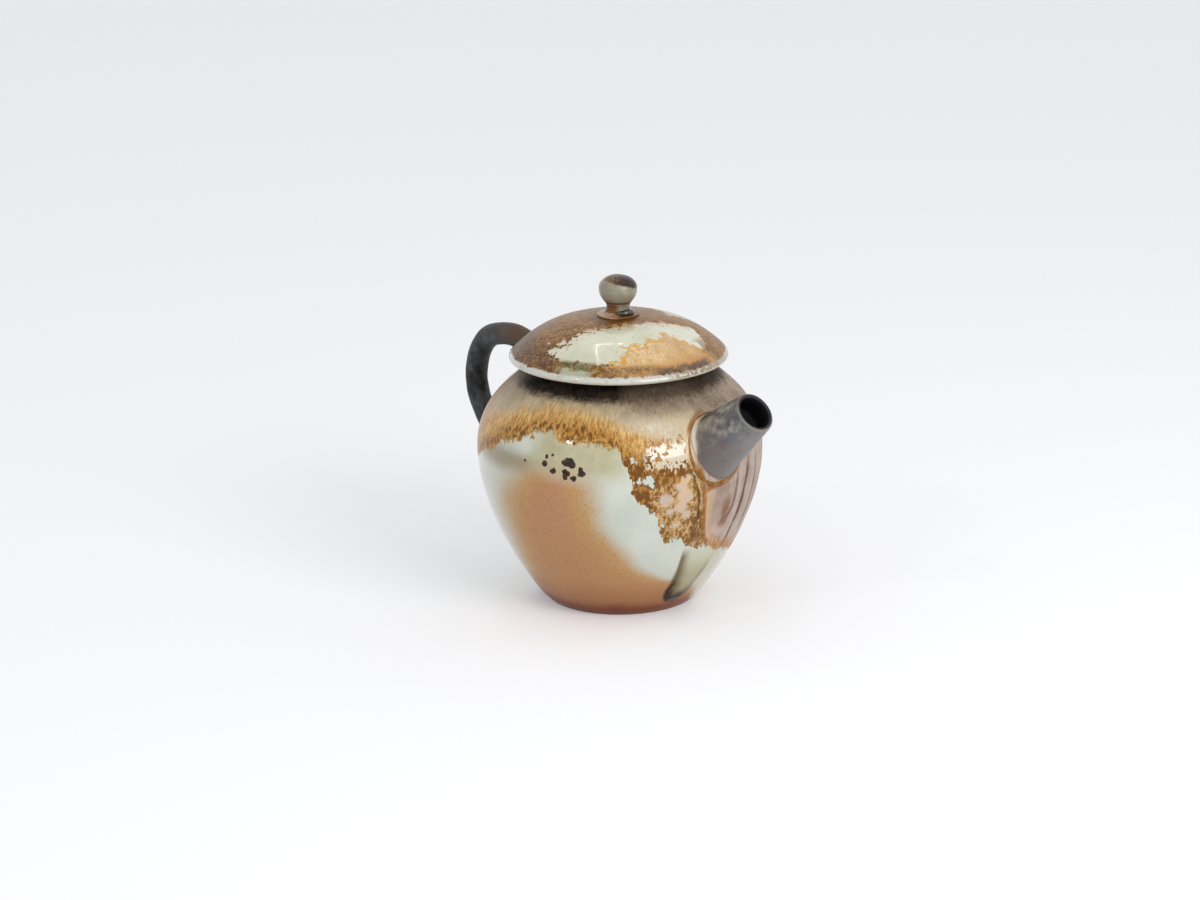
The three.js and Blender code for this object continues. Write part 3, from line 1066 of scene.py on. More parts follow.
def ashLayer(spot, depth, isGrey):
    # brown grains at the edge of the ash, then hatched ochre, then grey, and tan on the far side
    around, height, grit, blotch = spot.around, spot.z, spot.grit, spot.blotch
    hatch, coarse, teeth = spot.hatch, spot.coarse, spot.teeth
    isBrown = mask(height - follow(around, brownTop) - 1.4 * teeth - 0.9 * hatch - 0.5 * coarse, 1.8, -1.6)
    brown = mix(mask(teeth + 0.4 * hatch, -0.35, 0.45), (190, 140, 72), (122, 82, 26))
    ochre = mix(mask(hatch + 0.4 * teeth + 0.3 * grit, -0.7, 0.7), (178, 126, 60), (228, 190, 126))
    grey = mix(mask(blotch + 0.5 * coarse + 0.3 * hatch, -1, 1), (168, 151, 122), (204, 188, 157))
    grey = mix(mask(grit + blotch, 0.4, 1.6) * 0.5, grey, (126, 108, 88))
    creamy = near(around + 5 * coarse, 16, 24, 6) * near(height + blotch, 53.4, 4.6, 1.4)
    cream = mix(mask(grit + 0.8 * hatch + 0.6 * blotch, -0.8, 0.8), (224, 214, 194), (204, 187, 158))
    ash = mix(isGrey, mix(isBrown, ochre, brown), mix(creamy * 0.85, grey, cream))
    tan = mix(mask(coarse + 0.5 * hatch, -1, 1), (158, 116, 84), (190, 152, 116))
    tan = mix(mask(depth, 2.2, 0.2) * 0.6, tan, (146, 94, 62))
    farSide = most(mask(around, -66, -92), mask(around, 90, 130))
    return mix(farSide * mask(spot.smokeLine, 60, 57) * 0.8, ash, tan)


def laceLayer(spot, ash):
    # brown lace right of the front, with pale windows in it and a glossy cream patch above, partly pale glaze
    # and partly a painted highlight where the soft box reflects
    around, height, grit, blotch = spot.around, spot.z, spot.grit, spot.blotch
    hatch, teeth, clump = spot.hatch, spot.teeth, spot.clump
    belowTop = mask(height - 1.8 * hatch - 1.2 * teeth - 3 * mask(around, 8, 13), 49, 47.8)
    patch = band(around, -0.5, 1.5, 50, 60) * belowTop
    lace = mix(mask(clump + 0.5 * teeth + 0.5 * hatch, -0.3, 0.9), (122, 82, 28), (184, 136, 76))
    inner = mask(height + clump, 42.5, 40) * mask(around + 3 * clump, 11, 15)
    netting = mix(mask(teeth + 0.7 * clump + 0.4 * grit, -0.5, 0.6), (142, 100, 50), (210, 176, 130))
    lace = mix(inner * 0.85, lace, netting)
    window = mix(mask(spot.cloud + 0.5 * blotch, -0.6, 0.6), (218, 192, 160), (204, 188, 176))
    window = mix(mask(grit + 0.5 * teeth, 0.3, 0.9) * 0.6, window, (170, 128, 84))
    lace = mix(spotMask(spot, paleWindows, 0.9 * clump + 0.7 * teeth) * 0.92, lace, window)
    # the cream patch is glossy pale glaze shaped to the soft box's highlight, so its pale colour is partly
    # painted highlight
    glassyWithShine = near(around + 4 * clump + 2 * blotch, 19, 9.4, 8.4)
    glassyWithShine = glassyWithShine * near(height + 1.2 * clump + 1.6 * teeth + 0.8 * hatch, 48.3, 3.3, 2.7)
    glassyWithShine = glassyWithShine * mask(clump + 0.7 * blotch + 0.3 * hatch - 0.6 * mask(around, 17, 26), 0.5, 0.2)
    return mix(patch, ash, mix(glassyWithShine, lace, (214, 202, 176))), patch * glassyWithShine


def fieldLayer(spot, ash, depth, across):
    # cream and mottling along the ridge, and right of it a pink-grey field with brown grain
    around, height, clump, blotch = spot.around, spot.z, spot.clump, spot.blotch
    cream = near(across, -0.2, 2.2, 1.2) * band(height, 42, 46, 53, 57)
    ash = mix(cream * 0.9, ash, (216, 196, 160))
    mottled = band(across, -4.6, -3.4, -0.6, 0.2) * band(height, 22.5, 24.5, 29.5, 33)
    ash = mix(mottled * mask(spot.hatch + 0.4 * clump, 0.7, -0.1) * 0.9, ash, (116, 82, 48))
    field = mask(across, -0.3, 0.5) * mask(around, 150, 110)
    tone = mix(mask(spot.coarse + 0.6 * blotch, -1, 1), (158, 136, 122), (188, 170, 158))
    tone = mix(mask(spot.long + 0.4 * blotch, 0.35, 1.0) * 0.6, tone, (134, 98, 74))
    tone = mix(mask(height, 34, 22) * 0.4, tone, (206, 187, 172))
    stain = mask((around - 48.5).math("ABSOLUTE") + 1.2 * clump, 4, 0.5) * band(height, 24, 27, 31, 36)
    tone = mix(stain * 0.85, tone, (132, 88, 60))
    edge = mix(mask(spot.teeth, -0.6, 0.6), (196, 146, 90), (158, 106, 58))
    tone = mix(mask(depth + 0.8 * clump, 4.6, 1.2), tone, edge)
    for mark in woodGrain:
        groove = near(fromLine(spot, mark["line"], 0.5 * spot.coarse), 0, 1.1, 0.3)
        ends = band(height + blotch, mark["from"], mark["from"] + 6, mark["to"] - 6, mark["to"])
        burn = groove * ends * mask(blotch, -0.9, 0.1) * (0.25 + 0.65 * mark["depth"])
        tone = mix(burn, tone, (96, 62, 42))
    besideRidge = mask(across, 3.6, 1.4) * band(height, 18, 24, 36, 42)
    tone = mix(besideRidge * 0.85, tone, (204, 168, 126))
    underRoot = near(height - follow(around, lowerRoot) + 0.2 * clump, 0, 1.2, 0.4)
    tone = mix(underRoot * band(around, 35, 37, 50, 54) * 0.9, tone, (158, 104, 66))
    return mix(field * mask(height, 57, 54), ash, tone), field


def ridgeLayer(spot, color, across):
    # honey on the ridge, a dark line with a light edge left of it, and brown over the spout's root
    around, height, clump = spot.around, spot.z, spot.clump
    honey = near(across, 0, 1.2, 0.4) * band(height, 20.5, 22.5, 43, 47)
    honeyTone = mix(mask(clump + spot.hatch, -1, 1), (132, 90, 48), (172, 126, 78))
    color = mix(honey * 0.9, color, honeyTone)
    beside = fromLine(spot, darkLine, 0.25 * clump)
    dark = near(beside, 0, 0.5, 0.1) * band(height, 27, 30, 43, 46)
    color = mix(dark * 0.85, color, (88, 66, 42))
    lit = near(beside, 0.9, 0.45, 0.1) * band(height, 31, 34, 42, 45)
    color = mix(lit * 0.55, color, (200, 174, 134))
    overRoot = near(height - follow(around, upperRoot), 0, 0.8, 0.2) * band(around, 29, 31, 41, 46)
    return mix(overRoot * 0.85, color, (160, 112, 68)), dark


def shoulderLayer(spot, color):
    # the smoky shoulder, and the collar under the lid, partly charred and partly painted shadow from the
    # lid's brim
    around, blotch, teeth, smokeLine = spot.around, spot.blotch, spot.teeth, spot.smokeLine
    left = mask(smokeLine, 54, 61) * band(around, -150, -110, -66, -48)
    color = mix(left * 0.65, color, (116, 96, 74))
    right = mask(smokeLine + 4 * mask(around, 34, 60), 55.5, 60) * band(around, -6, 14, 100, 150)
    smoke = mix(mask(blotch + spot.grit, -1, 1), (118, 102, 88), (158, 139, 121))
    color = mix(right * 0.85, color, smoke)
    sooty = mask(teeth + blotch, 0.1, 0.8) * mask(smokeLine, 56.5, 59.5) * band(around, -12, 4, 55, 70)
    color = mix(sooty * 0.6, color, (88, 76, 66))
    strength = 0.62 + 0.38 * band(around, -88, -62, -4, 12) + 0.3 * band(around, 36, 56, 80, 120)
    # the collar's dark is partly char and partly the lid's shadow painted in
    collar = mask(smokeLine - 0.4 * spot.coarse, 58.9, 61.4) * strength
    charAndShadow = mix(mask(blotch + 0.5 * teeth, -0.8, 0.8), (44, 38, 36), (72, 62, 56))
    return mix(collar, color, charAndShadow), collar


def bodyGlaze(spot):
    addNoises(spot, bodyNoises, bodyStreaks)
    spot.smokeLine = spot.z + 0.8 * spot.coarse + 0.5 * spot.clump + 0.2 * spot.grit
    around, height, teeth, clump, grit = spot.around, spot.z, spot.teeth, spot.clump, spot.grit
    depth, across = ashDepth(spot), fromLine(spot, seamLine, 0.25 * clump)
    isGrey = mask(height - follow(around, ochreTop) - spot.coarse - 0.3 * grit, -2.2, 2.2)
    color, flash = flashLayer(spot, clearLayer(spot))
    color = dripLayer(spot, color)
    ash, glassyWithShine = laceLayer(spot, ashLayer(spot, depth, isGrey))
    ash, field = fieldLayer(spot, ash, depth, across)

    # the ash over the clear glaze, with clear gaps and pits in it and dots of it below
    gaps = spotMask(spot, clearGaps, 0.7 * clump + 0.45 * teeth)
    clumps = spotMask(spot, ashClumps, 0.5 * clump + 0.3 * teeth)
    ashMask = most(mask(depth, -0.15, 0.25) * (1 - gaps), clumps)
    color = mix(ashMask, color, ash)
    dots = mask(teeth + 0.3 * clump, 0.6, 0.85) * mask(depth, -2.6, -0.4) * band(around, -56, -46, -2, 4)
    color = mix(dots * (1 - ashMask), color, (126, 84, 42))
    pits = mask(teeth, -0.3, -0.7) * mask(depth, 3.6, 0.8) * band(around, -56, -46, -4, 0)
    color = mix(pits * ashMask * 0.7, color, (206, 194, 150))

    color, dark = ridgeLayer(spot, color, across)
    color, collar = shoulderLayer(spot, color)
    spots = spotMask(spot, ironSpots, 0.3 * clump + 0.15 * teeth)
    color = mix(spots, color, mix(mask(teeth + grit, -0.6, 0.8), (50, 36, 30), (84, 64, 50)))
    foot = mask(height, 0.7, 0.2)
    color = mix(foot, color, (150, 100, 72))

    matte = ashMask * (1 - mask(glassyWithShine, 0, 0.5))
    roughness = 0.13 + 0.22 * flash + 0.02 * grit + matte * (0.14 + 0.1 * isGrey + 0.14 * field)
    roughness = most(least(roughness + 0.3 * collar + 0.3 * foot, 0.75), 0.08)
    relief = 0.08 * ashMask + (0.03 * teeth + 0.03 * spot.hatch) * ashMask + 0.03 * spots + 0.008 * grit
    relief = relief + 0.03 * spot.blotch + 0.03 * spot.long * field - 0.06 * dark - 0.04 * gaps
    coat = (1 - flash * 0.85) * (1 - 0.6 * spots) * (1 - collar) * (1 - 0.85 * matte) * (1 - foot)
    return {"color": color, "roughness": roughness, "height": relief, "coat": coat}


def insideGlaze(spot):
    # clear glaze inside, thicker on the floor and brown at the mouth
    cloud = grain(spot.point, 7.0, 3.0)
    color = mix(mask(cloud, -1, 1), (190, 196, 182), (214, 216, 204))
    color = mix(mask(spot.z, 8, 3.7) * 0.5, color, (176, 182, 158))
    color = mix(mask(spot.z, 62, 67), color, (196, 176, 152))
    fine = grain(spot.point, 0.6, 2.0)
    return {"color": color, "roughness": 0.18 + 0.05 * cloud, "height": 0.01 * fine}


lidNoises = {
    "grit": (0.45, 2.0),
    "teeth": (0.9, 2.0),
    "clump": (1.6, 2.5),
    "blotch": (3.0, 3.0),
    "cloud": (9.0, 3.0),
}
lidStreaks = {"rays": (5, 1.6, 3.0)}
# Lid patterns, as place around and distance from the axis.
paleInner = [
    (-180, 29), (-60, 29), (-51, 28.5), (-48, 24), (-44, 20.5), (-39, 17.4), (-33, 14), (-22, 12.2),
    (-7, 10.3), (15, 9.2), (39, 9.6), (52, 10.8), (62, 12.2), (75, 16.2), (82, 20), (88, 29), (180, 29),
]
paleOuter = [
    (-180, 20), (-60, 22), (-50, 24), (-40, 25.2), (-25, 25.4), (0, 25.4), (60, 25.2), (70, 23.8), (78, 21),
    (90, 19), (180, 20),
]
amberInner = [
    (-180, 30), (-25, 29.5), (-10, 27), (-4, 24.5), (2, 23), (8, 20.5), (12, 18.8), (17, 19.8), (25, 17.8),
    (30, 18.4), (35, 18.8), (42, 16.4), (45, 18), (51, 20.4), (60, 24), (66, 26.5), (75, 29.5), (180, 30),
]
pinhole = onLid(-27, 27)
# Between the lid's top and its underside, as distance from the axis and height.
lidMiddle = [(0, 75.4), (12, 74), (18, 71), (24, 68.4), (28, 66), (30, 65)]


def lidBrown(spot):
    # grainy golden brown, darker in front of the knob and along the left rim, with a painted shadow left of
    # the knob's foot
    around, distance, grit, clump = spot.around, spot.radius, spot.grit, spot.clump
    turned = around.math("ABSOLUTE")
    color = mix(mask(spot.cloud + 0.5 * spot.blotch, -1, 1), (124, 90, 52), (162, 124, 78))
    color = mix(mask(grit + 0.6 * clump, 0, 0.5) * 0.5, color, (198, 150, 98))
    color = mix(mask(grit + 0.6 * clump, 0, -0.5) * 0.55, color, (84, 56, 28))
    color = mix(mask(turned, 60, 110) * 0.5, color, (148, 114, 80))
    front = mask(distance + 0.5 * clump, 11, 6) * mask(turned, 80, 30)
    color = mix(front * 0.8, color, (96, 66, 36))
    leftRim = band(around, -150, -110, -44, -32) * mask(distance + 0.6 * spot.blotch, 20, 26)
    rimTone = mix(mask(grit + 0.4 * clump, -0.5, 1), (84, 60, 42), (150, 122, 96))
    color = mix(leftRim * 0.8, color, rimTone)
    farLeft = band(around, -150, -120, -90, -66) * mask(distance, 14, 24)
    color = mix(farLeft * 0.6, color, (108, 92, 82))
    # painted shadow on the lid just left of the knob's foot
    shade = near(distance, 6.2, 1.1, 0.2) * mask(around, -20, -60)
    return mix(shade * 0.6, color, (96, 84, 76))


def paleLayer(spot, color):
    # a pale window where the clear glaze shows, with ragged clumps of brown at its edge
    around, distance, grit, teeth, clump = spot.around, spot.radius, spot.grit, spot.teeth, spot.clump
    left = mask(around, -24, -38)
    ragged = (2.2 + 3.0 * left) * clump + (1.2 + mask(around, -20, -33)) * teeth
    rough = around + left * (8 * clump + 7 * teeth)
    into = distance - follow(rough, paleInner) + ragged
    outOf = follow(around, paleOuter) - distance + 0.7 * clump
    pale = mask(into, -0.2, 0.6) * mask(outOf, -0.3, 0.6)
    tone = mix(mask(spot.cloud, -1, 1), (206, 206, 180), (222, 224, 204))
    tone = mix(mask(into, 5, 0.5) * 0.4, tone, (198, 180, 142))
    tone = mix(mask(grit, -0.1, 0.9) * 0.35, tone, (184, 170, 134))
    color = mix(pale, color, tone)
    fleck = mask(clump + 0.5 * teeth - 0.08 * into, 0, 0.35) * mask(into, 7, 4)
    fleckTone = mix(mask(teeth, -0.2, 0.6), (196, 154, 98), (158, 108, 60))
    color = mix(fleck * pale * 0.85, color, fleckTone)
    return mix(band(into, -1.4, -0.1, 0, 0.5) * 0.5, color, (176, 120, 70)), pale


def amberLayer(spot, color):
    # an amber run on the side of the spout, blotched at its edge, with bits of amber before it
    around, distance, clump, blotch, rays = spot.around, spot.radius, spot.clump, spot.blotch, spot.rays
    into = distance - follow(around, amberInner) + 1.9 * clump + 0.9 * spot.teeth
    amber = mask(into, -0.3, 0.5)
    tone = mix(mask(blotch + 0.7 * clump + 0.5 * rays, -1.1, 1.1), (204, 164, 100), (232, 208, 166))
    creamy = mask(into + blotch, 5, 1.5) * mask(blotch + clump, -0.3, 0.4)
    tone = mix(creamy * 0.45, tone, (228, 212, 186))
    tone = mix(mask(around + 4 * clump, 20, 48) * 0.55, tone, (188, 146, 88))
    tone = mix(mask(into + clump, 2.2, 0.8), tone, (214, 160, 66))
    tone = mix(mask(spot.grit + 0.5 * rays, -0.1, 0.6) * 0.4, tone, (176, 118, 48))
    tone = mix(mask(distance + 0.5 * blotch, 24.5, 27) * 0.75, tone, (188, 132, 66))
    tone = mix(mask(around, 50, 60) * mask(clump, -0.6, 0.6), tone, (176, 124, 50))
    color = mix(amber, color, tone)
    bits = mask(clump + 0.6 * blotch, 0.55, 0.75) * mask(into, -4.5, -1) * band(around, -8, 2, 56, 66)
    return mix(bits, color, (216, 164, 84)), amber


def slopeLayer(spot, color):
    # olive, brown and near-black along the lower slope, and pale glaze behind
    around, distance, grit, teeth, clump = spot.around, spot.radius, spot.grit, spot.teeth, spot.clump
    outward = distance + 0.5 * clump
    olive = mask(around + 3 * clump, -37, -31) * mask(around, -12, -17) * mask(outward, 24.6, 25.8)
    color = mix(olive * 0.9, color, mix(mask(clump + grit, -0.8, 0.8), (98, 92, 60), (138, 134, 100)))
    color = mix(olive * mask(outward, 26.6, 27.3) * 0.8, color, (188, 190, 168))
    low = mask(outward, 25.4, 26.4) * band(around, -20, -12, 16, 30)
    color = mix(low * 0.9, color, mix(mask(grit + 0.8 * clump, -0.7, 0.9), (104, 74, 34), (182, 142, 90)))
    lowest = mask(distance, 27, 27.8) * band(around, 2, 8, 24, 36)
    color = mix(lowest * 0.6, color, (194, 146, 96))
    burnt = mask(distance + 0.7 * clump + 0.3 * grit, 26.2, 27.2) * band(around, 14, 26, 54, 62)
    color = mix(burnt * 0.9, color, mix(mask(grit + clump, -0.6, 1), (66, 50, 44), (126, 104, 84)))
    rightOlive = mask(around + 4 * clump, 60, 64) * mask(around, 76, 70) * mask(distance, 21, 23.5)
    color = mix(rightOlive * 0.8, color, (132, 104, 62))
    behind = mask(distance + 2.2 * clump + 1.2 * teeth, 13.4, 14.2)
    behind = behind * mask(around + 5 * clump + 4 * teeth, 104, 108) * mask(around + 5 * clump, 170, 164)
    return mix(behind * 0.9, color, (208, 206, 184))


def lipLayer(spot, color):
    # a pale lip, stained brown towards the spout, a pinhole above it and the underside
    around, distance, clump, rays = spot.around, spot.radius, spot.clump, spot.rays
    lip = mask(spot.z - (67.1 + 0.3 * clump + 0.2 * rays), 0.22, -0.18) * mask(distance, 26.5, 27.2)
    bySpout = band(around, 12, 40, 60, 100) * mask(spot.teeth + clump, -0.6, 0.2)
    stained = most(mask(clump + 0.6 * rays, 0.1, 0.8) * 0.5, bySpout)
    stain = mix(mask(around, 12, 40), (176, 162, 138), (152, 132, 102))
    color = mix(lip, color, mix(stained, (208, 207, 199), stain))
    color = mix(lip * band(around, 44, 62, 80, 110) * 0.7, color, (160, 144, 118))
    color = mix(near(apart(spot, pinhole), 0.45, 0.3, 0.05) * 0.8, color, (186, 140, 96))
    below = mask(distance, 27.6, 27.2) * mask(follow(distance, lidMiddle) - spot.z, -0.4, -0.1)
    return mix(most(mask(spot.z, 66.2, 65.6), below), color, (204, 198, 180)), lip


def lidGlaze(spot):
    addNoises(spot, lidNoises, lidStreaks)
    color, pale = paleLayer(spot, lidBrown(spot))
    color, amber = amberLayer(spot, color)
    color, lip = lipLayer(spot, slopeLayer(spot, color))
    gloss = most(pale, amber * 0.8, lip)
    roughness = most(0.38 - 0.26 * gloss + 0.02 * spot.grit, 0.08)
    relief = 0.05 * amber - 0.03 * pale + (0.02 * spot.grit + 0.03 * spot.clump) * (1 - 0.97 * pale)
    relief = relief + 0.012 * spot.blotch
    return {"color": color, "roughness": roughness, "height": relief, "coat": 0.08 + 0.92 * gloss}


def knobGlaze(spot):
    # grey-green ball with a dark cap, a brown groove and stem, and a warm foot with painted shade on its left
    # edge
    point, height = spot.point, spot.z
    cloud, clump, fine = grain(point, 3.0, 3.0), grain(point, 1.3, 2.0), grain(point, 0.5, 2.0)
    across, toward = (spot.x + spot.y) * 0.7071, (spot.x - spot.y) * 0.7071
    color = mix(mask(cloud + 0.3 * fine, -1, 1), (142, 136, 117), (168, 162, 145))
    color = mix(mask(height, 82, 80.6) * mask(across, 0, -3) * 0.6, color, (136, 104, 66))
    cap = mask(height + 0.27 * across - 0.03 * toward + 0.3 * clump + 0.1 * fine, 85.3, 85.8)
    capTone = mix(mask(clump + fine - 0.3 * across, -0.8, 1.4), (58, 40, 26), (128, 96, 64))
    color = mix(cap * 0.95, color, capTone)
    groove = near(height + 0.1 * clump, 80.4, 0.45, 0.1)
    color = mix(groove * 0.9, color, (98, 66, 34))
    stem = mask(height, 80, 79.6)
    color = mix(stem * mask(across, 1.2, -1), color, (116, 80, 44))
    color = mix(stem * mask(across, 0, 1.5) * 0.7, color, (124, 120, 96))
    foot = mask(height + 0.15 * clump, 78.1, 77.5)
    footTone = mix(mask(across, -1.8, 1.2), (184, 148, 122), (112, 82, 52))
    color = mix(foot, color, mix(mask(fine + clump, -0.5, 1) * 0.4, footTone, (110, 74, 52)))
    # painted shade low on the left of the foot's edge
    color = mix(mask(height, 76.9, 76.6) * mask(across, 1.5, -1) * 0.7, color, (92, 72, 58))
    return {"color": color, "roughness": 0.24 + 0.05 * cloud, "height": 0.02 * fine + 0.02 * cloud}


def poolGlaze(spot):
    cloud = grain(spot.point, 0.8, 2.0)
    color = mix(mask(cloud, -1, 1), (34, 26, 24), (58, 44, 38))
    return {"color": color, "roughness": 0.07 + 0.02 * cloud, "height": 0.01 * cloud}


def spoutSlip(spot):
    # grey slip, paler below, with cream and brown at the root on the left, and painted shade inside the bore
    point, side = spot.point, spot.y
    cloud, fine, blotch = grain(point, 5.0, 3.0), grain(point, 0.5, 3.0), grain(point, 1.8, 3.0)
    kind, away = "ShaderNodeVectorMath", {"operation": "SUBTRACT"}
    fromRoot = spot.node(kind, away, {0: point, 1: tuple(spoutRoot)})
    out, up = (
        spot.node(kind, {"operation": "DOT_PRODUCT"}, {0: fromRoot, 1: tuple(axis)}, "Value")
        for axis in (spoutAxis, spoutUp)
    )
    length, mouth, root = (spoutSet[key] for key in ("length", "mouthRadius", "rootRadius"))
    size = (up * up + side * side).math("SQRT")
    outside = size - (root + (mouth - root) / length * out)
    color = mix(mask(cloud + 0.15 * blotch + 0.2 * fine, -1.2, 1.2), (88, 89, 93), (118, 120, 125))
    color = mix(mask(up + 0.6 * blotch, -1.5, -6) * 0.7, color, (150, 147, 144))
    color = mix(mask(out + 0.2 * blotch, 3, 14) * mask(up, -4, 3) * 0.75, color, (80, 82, 86))
    color = mix(mask(side + 0.8 * blotch, 2, -5) * mask(out, 13, 7) * 0.7, color, (124, 114, 108))
    color = mix(mask(blotch + 0.5 * fine, 0.2, 1.2) * 0.3, color, (84, 76, 74))
    color = mix(mask(up + 0.2 * blotch, 4.6, 7.4) * 0.8, color, (64, 56, 52))
    left = mask(side - 0.4 * up + 0.4 * blotch, 0, -5)
    color = mix(mask(outside + 0.1 * blotch, -0.15, 0.25) * left * 0.95, color, (222, 212, 192))
    color = mix(mask(outside + 0.1 * blotch, 0.95, 1.3) * left * 0.7, color, (186, 146, 98))
    rim = mask(out + 0.1 * blotch, length - 0.55, length - 0.25)
    color = mix(rim * 0.8, color, mix(mask(up, 1, 5), (140, 132, 124), (128, 106, 94)))
    # painted shade inside the bore, near black deeper in
    inner = mask(size + 0.1 * blotch, mouth - 0.3, mouth - 0.55) * mask(outside, -0.35, -0.6)
    color = mix(inner, color, mix(mask(out, 15, 18), (26, 18, 14), (58, 58, 60)))
    return {"color": color, "roughness": 0.5 + 0.08 * cloud, "height": 0.03 * fine + 0.03 * blotch}


def beadSlip(spot):
    # honey-coloured slip, darker at the top and greyer on the far side
    cloud, fine = grain(spot.point, 3.0, 3.0), grain(spot.point, 0.6, 3.0)
    color = mix(mask(cloud + 0.5 * fine, -0.9, 0.9), (128, 86, 42), (184, 138, 82))
    color = mix(mask(spot.z, 52, 57) * mask(spot.y, -4, 0) * 0.8, color, (104, 78, 60))
    color = mix(mask(spot.y, 0, 5) * 0.8, color, (140, 112, 94))
    return {"color": color, "roughness": 0.32 + 0.06 * cloud, "height": 0.03 * fine}


def handleChar(spot):
    # charred clay, toasted where the handle leaves the shoulder
    point = spot.point
    cloud, fine, blotch = grain(point, 7.0, 3.0), grain(point, 0.5, 3.0), grain(point, 1.8, 4.0)
    color = mix(mask(cloud + 0.4 * blotch, -0.9, 0.9), (40, 42, 45), (84, 86, 90))
    color = mix(mask(blotch + 0.5 * fine, 0.3, 1.1) * 0.55, color, (112, 114, 118))
    toasted = mask(spot.z + 1.5 * blotch, 59, 66) * mask(spot.x, -50, -36)
    color = mix(toasted * 0.8, color, (104, 80, 62))
    return {"color": color, "roughness": 0.5 + 0.12 * blotch, "height": 0.05 * fine + 0.06 * blotch}


def barePorcelain(spot):
    cloud, fine = grain(spot.point, 6.0, 3.0), grain(spot.point, 0.4, 2.0)
    color = mix(mask(cloud + 0.3 * fine, -1, 1), (196, 184, 168), (216, 206, 192))
    return {"color": color, "roughness": 0.6 + 0.05 * cloud, "height": 0.015 * fine}


print("firing glazes")
glossy = {"IOR": 1.5, "Specular IOR Level": 0.2, "Coat Roughness": 0.06, "Coat IOR": 1.5}
potGlaze = fire("potGlaze", bodyGlaze, glossy)
clearGlaze = fire("clearGlaze", insideGlaze, {"IOR": 1.52})
topGlaze = fire("topGlaze", lidGlaze, glossy)
knobFinish = fire("knobFinish", knobGlaze, {"IOR": 1.5, "Specular IOR Level": 0.3})
poolFinish = fire("poolFinish", poolGlaze, {"IOR": 1.55, "Coat Weight": 1, "Coat Roughness": 0.02})
greySlip = fire("greySlip", spoutSlip, {"Specular IOR Level": 0.3})
honeySlip = fire("honeySlip", beadSlip, {"Specular IOR Level": 0.3})
charredClay = fire("charredClay", handleChar, {"Specular IOR Level": 0.3})
paleClay = fire("paleClay", barePorcelain)


# Building

def makePot():
    # the thrown pot with the hole for the spout, and its glaze numbers: 1 inside and 0 elsewhere
    shape = thrown(potOutside(72) + potInside(), potSet["steps"])
    shapePot(shape)
    pot = asObject(shape, "thrownPot")
    drill = bmesh.new()
    bmesh.ops.create_cone(
        drill,
        cap_ends=True,
        segments=64,
        radius1=holeSet["radius"],
        radius2=holeSet["radius"],
        depth=holeSet["length"],
        matrix=aimed(spoutRoot - spoutAxis * holeSet["behindRoot"], spoutAxis),
    )
    cutAway(pot, asObject(drill, "drill"))
    numbers = []
    for face in pot.data.polygons:
        middle = face.center
        radius = math.hypot(middle.x, middle.y)
        hidden = middle.z > potSet["floor"] - 0.1 and radius < potRadius(middle.z) - 1.2
        atRim = middle.z > potSet["glazeLine"] and radius > potSet["bore"] + 0.3
        numbers.append(1 if hidden and not atRim else 0)
    return pot, numbers


pot, glazeNumbers = makePot()
finishPiece(pot, [potGlaze, clearGlaze], "pot", ["pot_body"])
pot.data.polygons.foreach_set("material_index", glazeNumbers)
finishPiece(makeSpout(), [greySlip], "pot", ["spout"])
finishPiece(makeBead(), [honeySlip], "pot", ["spout_lute"])
finishPiece(makeStrainer(), [paleClay], "pot", ["strainer"])
finishPiece(makeHandle(), [charredClay], "pot", ["handle"])
finishPiece(makeLid(), [topGlaze], "lid", ["lid_dome"])
finishPiece(makeFlange(), [paleClay], "lid_ring", ["lid_flange"])
finishPiece(makeKnob(), [knobFinish], "lid", ["lid_knob"])
finishPiece(makePool(), [poolFinish], "lid", [])


# Table and light

stageSet = {
    "tableSize": 9000,
    "tableDrop": 0.05,
    "tableRoughness": 0.9,
    "tableSheen": 0.1,
    "tableColor": (0.86, 0.865, 0.885),
    "tableLift": 0.17,
    "sky": 0.72,
    "skyColor": (0.985, 0.99, 1.0),
}
# Each lamp's turns are degrees round from the camera, degrees up and its roll.
lampSet = [
    {"name": "softBox", "turns": (40, 27, 0), "distance": 700, "size": (400, 250), "power": 1.9},
    {"name": "leftLamp", "turns": (-48, 36, 0), "distance": 800, "size": (60, 40), "power": 0.25},
    {"name": "backBar", "turns": (-171, 65, 0), "distance": 700, "size": (150, 7), "power": 0.04},
    {"name": "cornerBar", "turns": (-141, 73.5, 45), "distance": 700, "size": (300, 4), "power": 0.065},
]


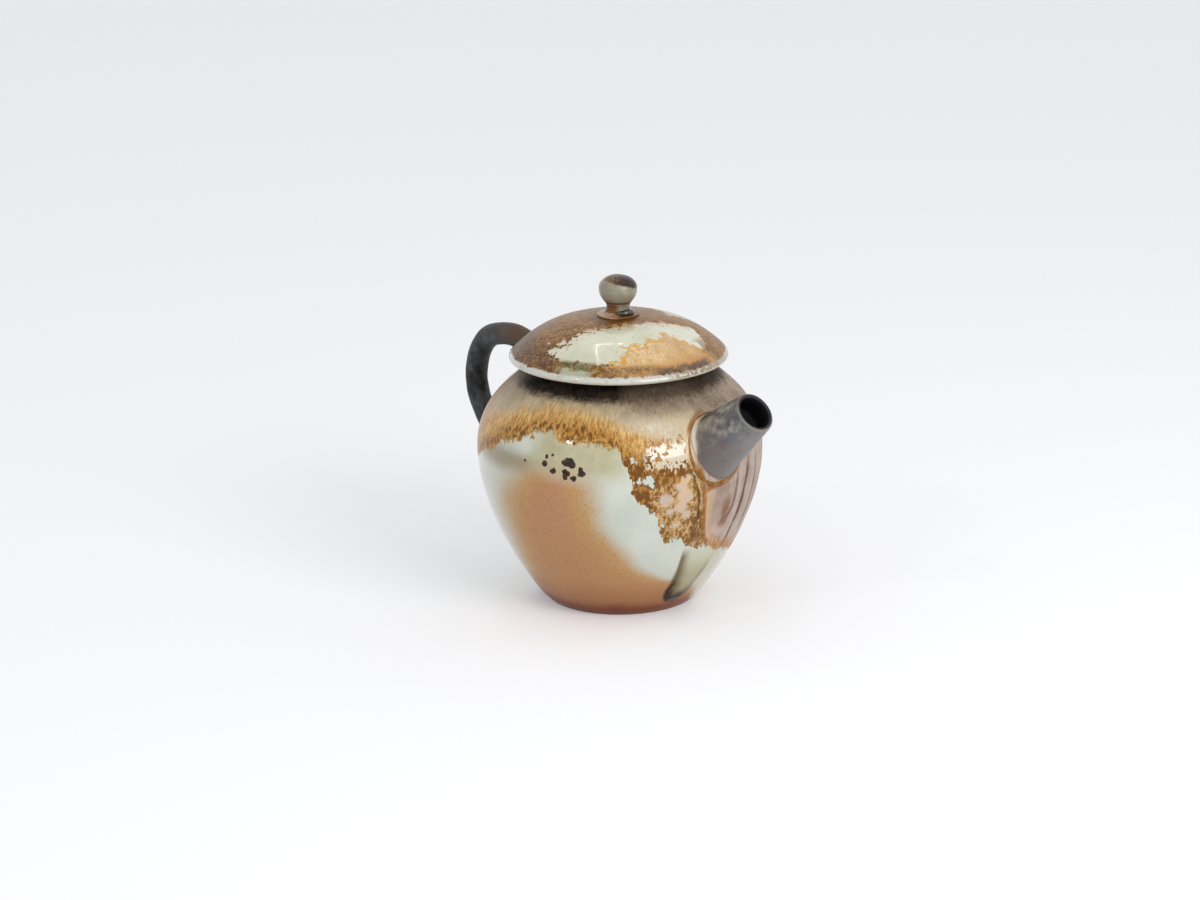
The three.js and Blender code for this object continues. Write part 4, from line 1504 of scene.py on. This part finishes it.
def seenWhite(start):
    # 1 for rays that show the background
    names = ("Is Camera Ray", "Is Glossy Ray", "Is Transmission Ray")
    return most(*(start.node("ShaderNodeLightPath", output=name) for name in names))


def makeStage():
    shape = bmesh.new()
    bmesh.ops.create_grid(shape, x_segments=1, y_segments=1, size=stageSet["tableSize"] / 2)
    bmesh.ops.translate(shape, vec=(0, 0, -stageSet["tableDrop"]), verts=shape.verts)
    table = asObject(shape, "table")
    table.data.transform(Matrix.Scale(mm, 4))
    material = bpy.data.materials.new("paleTable")
    material.use_nodes = True
    start = Wire(material.node_tree)
    shader = material.node_tree.nodes["Principled BSDF"]
    shader.inputs["Base Color"].default_value = (*stageSet["tableColor"], 1)
    shader.inputs["Roughness"].default_value = stageSet["tableRoughness"]
    shader.inputs["Specular IOR Level"].default_value = stageSet["tableSheen"]
    shader.inputs["Emission Color"].default_value = (*stageSet["skyColor"], 1)
    lift = seenWhite(start) * stageSet["tableLift"]
    material.node_tree.links.new(lift.socket, shader.inputs["Emission Strength"])
    table.data.materials.append(material)


def makeSky():
    world = bpy.data.worlds.new("studioAir")
    scene.world = world
    world.use_nodes = True
    start = Wire(world.node_tree)
    background = world.node_tree.nodes["Background"]
    background.inputs["Color"].default_value = (*stageSet["skyColor"], 1)
    strength = stageSet["sky"] + (1 - stageSet["sky"]) * seenWhite(start)
    world.node_tree.links.new(strength.socket, background.inputs["Strength"])


def makeLamp(lamp):
    data = bpy.data.lights.new(lamp["name"], "AREA")
    data.shape = "RECTANGLE"
    data.size, data.size_y = lamp["size"][0] * mm, lamp["size"][1] * mm
    data.energy = lamp["power"]
    around, rise, roll = lamp["turns"]
    back = directionOf(math.radians(cameraSet["around"] + around), math.radians(rise))
    made = bpy.data.objects.new(lamp["name"], data)
    made.location = (Vector(cameraSet["target"]) + back * lamp["distance"]) * mm
    aim = back.to_track_quat("Z", "Y").to_matrix() @ Matrix.Rotation(math.radians(roll), 3, "Z")
    made.rotation_euler = aim.to_euler()
    scene.collection.objects.link(made)


makeStage()
makeSky()
for lamp in lampSet:
    makeLamp(lamp)
scene.view_settings.view_transform = "Standard"
print("stage lit")
